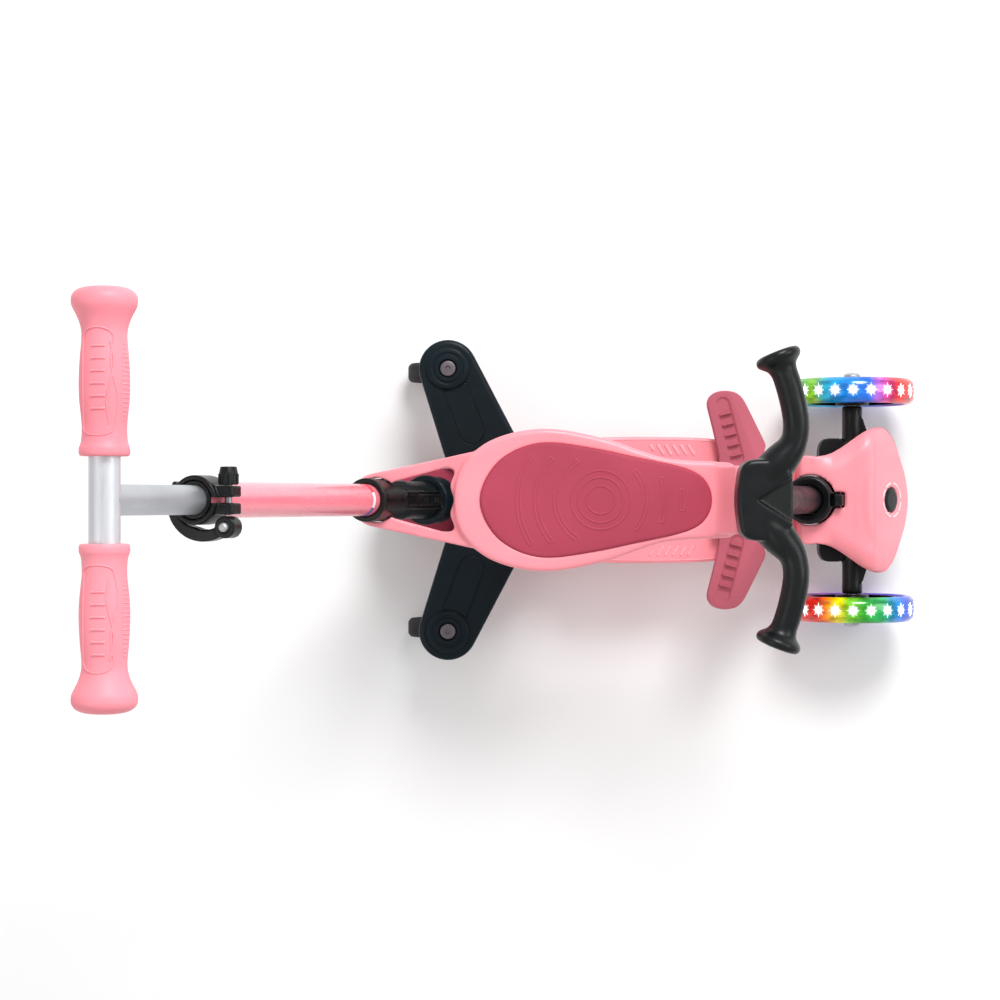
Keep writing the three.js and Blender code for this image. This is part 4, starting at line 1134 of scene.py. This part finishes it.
def build_bar_tubes():
    tube = ring("outer_bar", 12.7, 14.15, 64.7, 442.9, BAR, 128, 0.4, 2)
    dress(tube, TUBE, "push_bar", "outer_tube")
    for name, start, end, look in (("white", -28, 28, WHITE), ("red", 29, 80, RED),
            ("blue", -80, -29, BLUE)):
        outline = arc((0, 0), 14.35, start, end, 24) + arc((0, 0), 14.1, end, start, 24)
        dress(slab(f"bar_band_{name}", outline, 142.5, 147, BAR), look, "push_bar")
    bush = turned("tube_bush", [(11.5, 396), (12.4, 396), (12.4, 443.3), (14.2, 443.3), (14.2, 445.9),
        (11.5, 445.9)], 0.3, 2, BAR, closed=True)
    dress(bush, BLACK, "push_bar", "reducer_bush")
    stem = ring("inner_bar", 9.7, 11.2, 232.2, CROSSBAR_Z - 1, BAR, 128)
    dress(stem, SILVER, "bar_top", "bar_stem")
    cross = BAR @ shifted(0, 0, CROSSBAR_Z) @ ALONG_Y
    bar = ring("handle_tube", 9.5, 11.2, -138, 138, cross, 128, 0.4, 2)
    # The crossbar takes the paler copy of the aluminium, a painted highlight.
    dress(bar, CROSSBAR_PAINTED_HIGHLIGHT, "bar_top", "crossbar")
    dot = turned("height_button", [(0, 10.4), (3.4, 10.4), (3.4, 11.6), (2, 12.3), (0, 12.5)], 0.5, 3,
        BAR @ shifted(0, 0, 458) @ Matrix.Rotation(math.radians(-90), 4, "Y"), 40)
    dress(dot, (STEEL[0], "aluminium"), "bar_top")


GRIP_RADII = [(30.6, 16.4), (31.4, 17.4), (33.5, 17.9), (36.5, 17.7), (38.6, 16.9), (42, 16.1),
    (48, 15.75), (54, 15.85), (62, 16.7), (72, 17.6), (82, 17.85), (92, 17.55), (102, 16.9), (110, 16.15),
    (116, 15.95), (121, 16.6), (127, 18.6), (132.5, 21.4), (136, 22.9), (139.5, 23.35), (142.5, 22.9),
    (145.5, 21), (147.8, 17.2), (149, 12), (149.4, 6)]


def grip_radius(y):
    for (y0, r0), (y1, r1) in zip(GRIP_RADII, GRIP_RADII[1:]):
        if y0 <= y <= y1:
            return r0 + (r1 - r0) * (y - y0) / (y1 - y0)
    return GRIP_RADII[-1][1]


def on_grip(y, angle, lift, s):
    """A point on the grip's skin; angle 0 faces up the bar's own axis and 90 faces forward."""
    radius = grip_radius(y) + lift
    turn = math.radians(angle)
    return (radius * math.sin(turn), s * y, CROSSBAR_Z + radius * math.cos(turn))


def build_grips():
    for name, s in SIDES:
        profile = smooth_path([(r, y, 0) for y, r in GRIP_RADII], 3)
        profile = [(r, y) for r, y, _ in profile] + [(0, GRIP_RADII[-1][0] + 0.05), (0, 140), (11.6, 140),
            (11.6, 30.6)]
        turn = ALONG_Y if s > 0 else SIDE_VIEW
        body = revolve(f"soft_grip_{name}", profile, BAR @ shifted(0, 0, CROSSBAR_Z) @ turn, 128, True)
        body.data.shade_smooth()
        dress(body, GRIP, "bar_top", "grip_" + name)
        details = []
        for k in range(6):
            y = 63.6 + 8.7 * k
            rib = [on_grip(y, a, 0.1, s) for a in range(0, 33, 4)]
            details.append(sweep("grip_rib", rib, 0.95, BAR, sides=4))
        rim = [on_grip(50 + 62 * t, -32 + 8 * math.sin(math.pi * t), 0.05, s) for t in steps(20)]
        rim += [on_grip(112 + 8 * math.sin(math.pi * t), 11.5 - 43.5 * math.cos(math.pi * t), 0.05, s)
            for t in steps(12)[1:-1]]
        rim += [on_grip(112 - 62 * t, 55 - 9 * math.sin(2 * math.pi * t), 0.05, s) for t in steps(20)]
        rim += [on_grip(50 - 5 * math.sin(math.pi * t), 11.5 + 43.5 * math.cos(math.pi * t), 0.05, s)
            for t in steps(10)[1:-1]]
        details.append(sweep("grip_rim", rim, 0.65, BAR, cyclic=True, sides=3))
        lens = [on_grip(53 + 58 * t, 44 - 8 * math.sin(2 * math.pi * t), 0.05, s) for t in steps(40)]
        details.append(sweep("grip_lens", lens, 0.7, BAR, sides=3))
        for k in range(18):
            y = 56 + 3.1 * k
            reach = 22 * math.sin(math.pi * (k + 1) / 19)
            rib = [on_grip(y, a, 0.0, s) for a in (86 - reach * 0.5, 86, 86 + reach * 0.5, 86 + reach)]
            details.append(sweep("grip_fine", rib, 0.5, BAR, sides=3))
        dress(merge(f"grip_relief_{name}", details), GRIP, "bar_top")


# ---------------------------------------------------------------- quick clamp
def build_clamp():
    bolt_place = BAR @ shifted(CLAMP_BOLT_X, 0, CLAMP_BOLT_Z) @ ALONG_Y
    band = ring("ring", 14.7, 18.9, 420, 445.8, BAR, edge=1.2, cuts=4)
    ears = []
    for s in (1, -1):
        y0, y1 = span(s, 2.2, 10.8)
        ear = rounded([(14, 424.4), (30.8, 424.4), (30.8, 441.8), (14, 441.8)], 4.5, 5)
        ears.append(side_slab("ear", ear, y0, y1, BAR))
    cutters = [brick("split", (10, -2.1, 400), (40, 2.1, 460), BAR), rod("bore", 14.6, 400, 460, BAR, 72),
        rod("bolt_bore", 3.4, -30, 30, bolt_place, 24)]
    dress(fuse("clamp_band", [band] + ears, cutters, 0.7, 3), BLACK, "push_bar", "clamp_collar")

    pin_place = BAR @ shifted(CLAMP_BOLT_X, LEVER_PIN_Y, 0)
    outer, inner = [], []
    for t in steps(48):
        angle = math.radians(-46 - 170 * t)
        near = 20.8 + 5.4 * max(0.0, 1 - t * 3.2)
        far = 25.3 + 9 * (1 - t) ** 1.3
        outer.append((far * math.cos(angle), far * math.sin(angle)))
        inner.append((near * math.cos(angle), near * math.sin(angle)))
    arm = slab("arm", rounded(outer + inner[::-1], 1.2, 2), 426.6, 439.4, BAR)
    hub = rod("hub", 8.5, 426.1, 439.9, pin_place, 48)
    bore = rod("bore", 4.1, 400, 460, pin_place)
    dress(fuse("clamp_handle", [arm, hub], [bore], 0.7, 4), BLACK, "lever", "clamp_lever")
    pin = turned("clamp_pin", [(0, 423), (3.7, 423), (3.7, 442), (2.6, 443.7), (0, 444)], 0.8, 4,
        pin_place, 48)
    dress(pin, SILVER, "push_bar", "lever_pin")
    bolt = rod("clamp_stud", 2.9, -11.5, 22, bolt_place, edge=0.5)
    dress(bolt, STEEL, "push_bar", "clamp_bolt")
    knob = [turned("knob", [(3.5, 11.4), (7.3, 11.4), (7.3, 19.6), (6.2, 25.3), (0, 25.3), (0, 22.8),
        (3.5, 22.8)], 0.9, 4, bolt_place, 72)]
    for k in range(14):
        turn = Matrix.Rotation(2 * math.pi * k / 14, 4, "Z")
        knob.append(brick("knob_rib", (6.6, -0.7, 12), (7.75, 0.7, 19.8), bolt_place @ turn))
    dress(merge("clamp_thumbwheel", knob), BLACK, "knob", "clamp_knob")


build_deck()
build_footrests()
build_nose()
build_truck()
build_front_wheel("left", TYRE_LEFT)
build_front_wheel("right", TYRE_RIGHT)
build_rear_wheel()
build_front_post()
build_handlebar()
build_seat()
build_yoke()
build_bar_foot()
build_bar_tubes()
build_grips()
build_clamp()
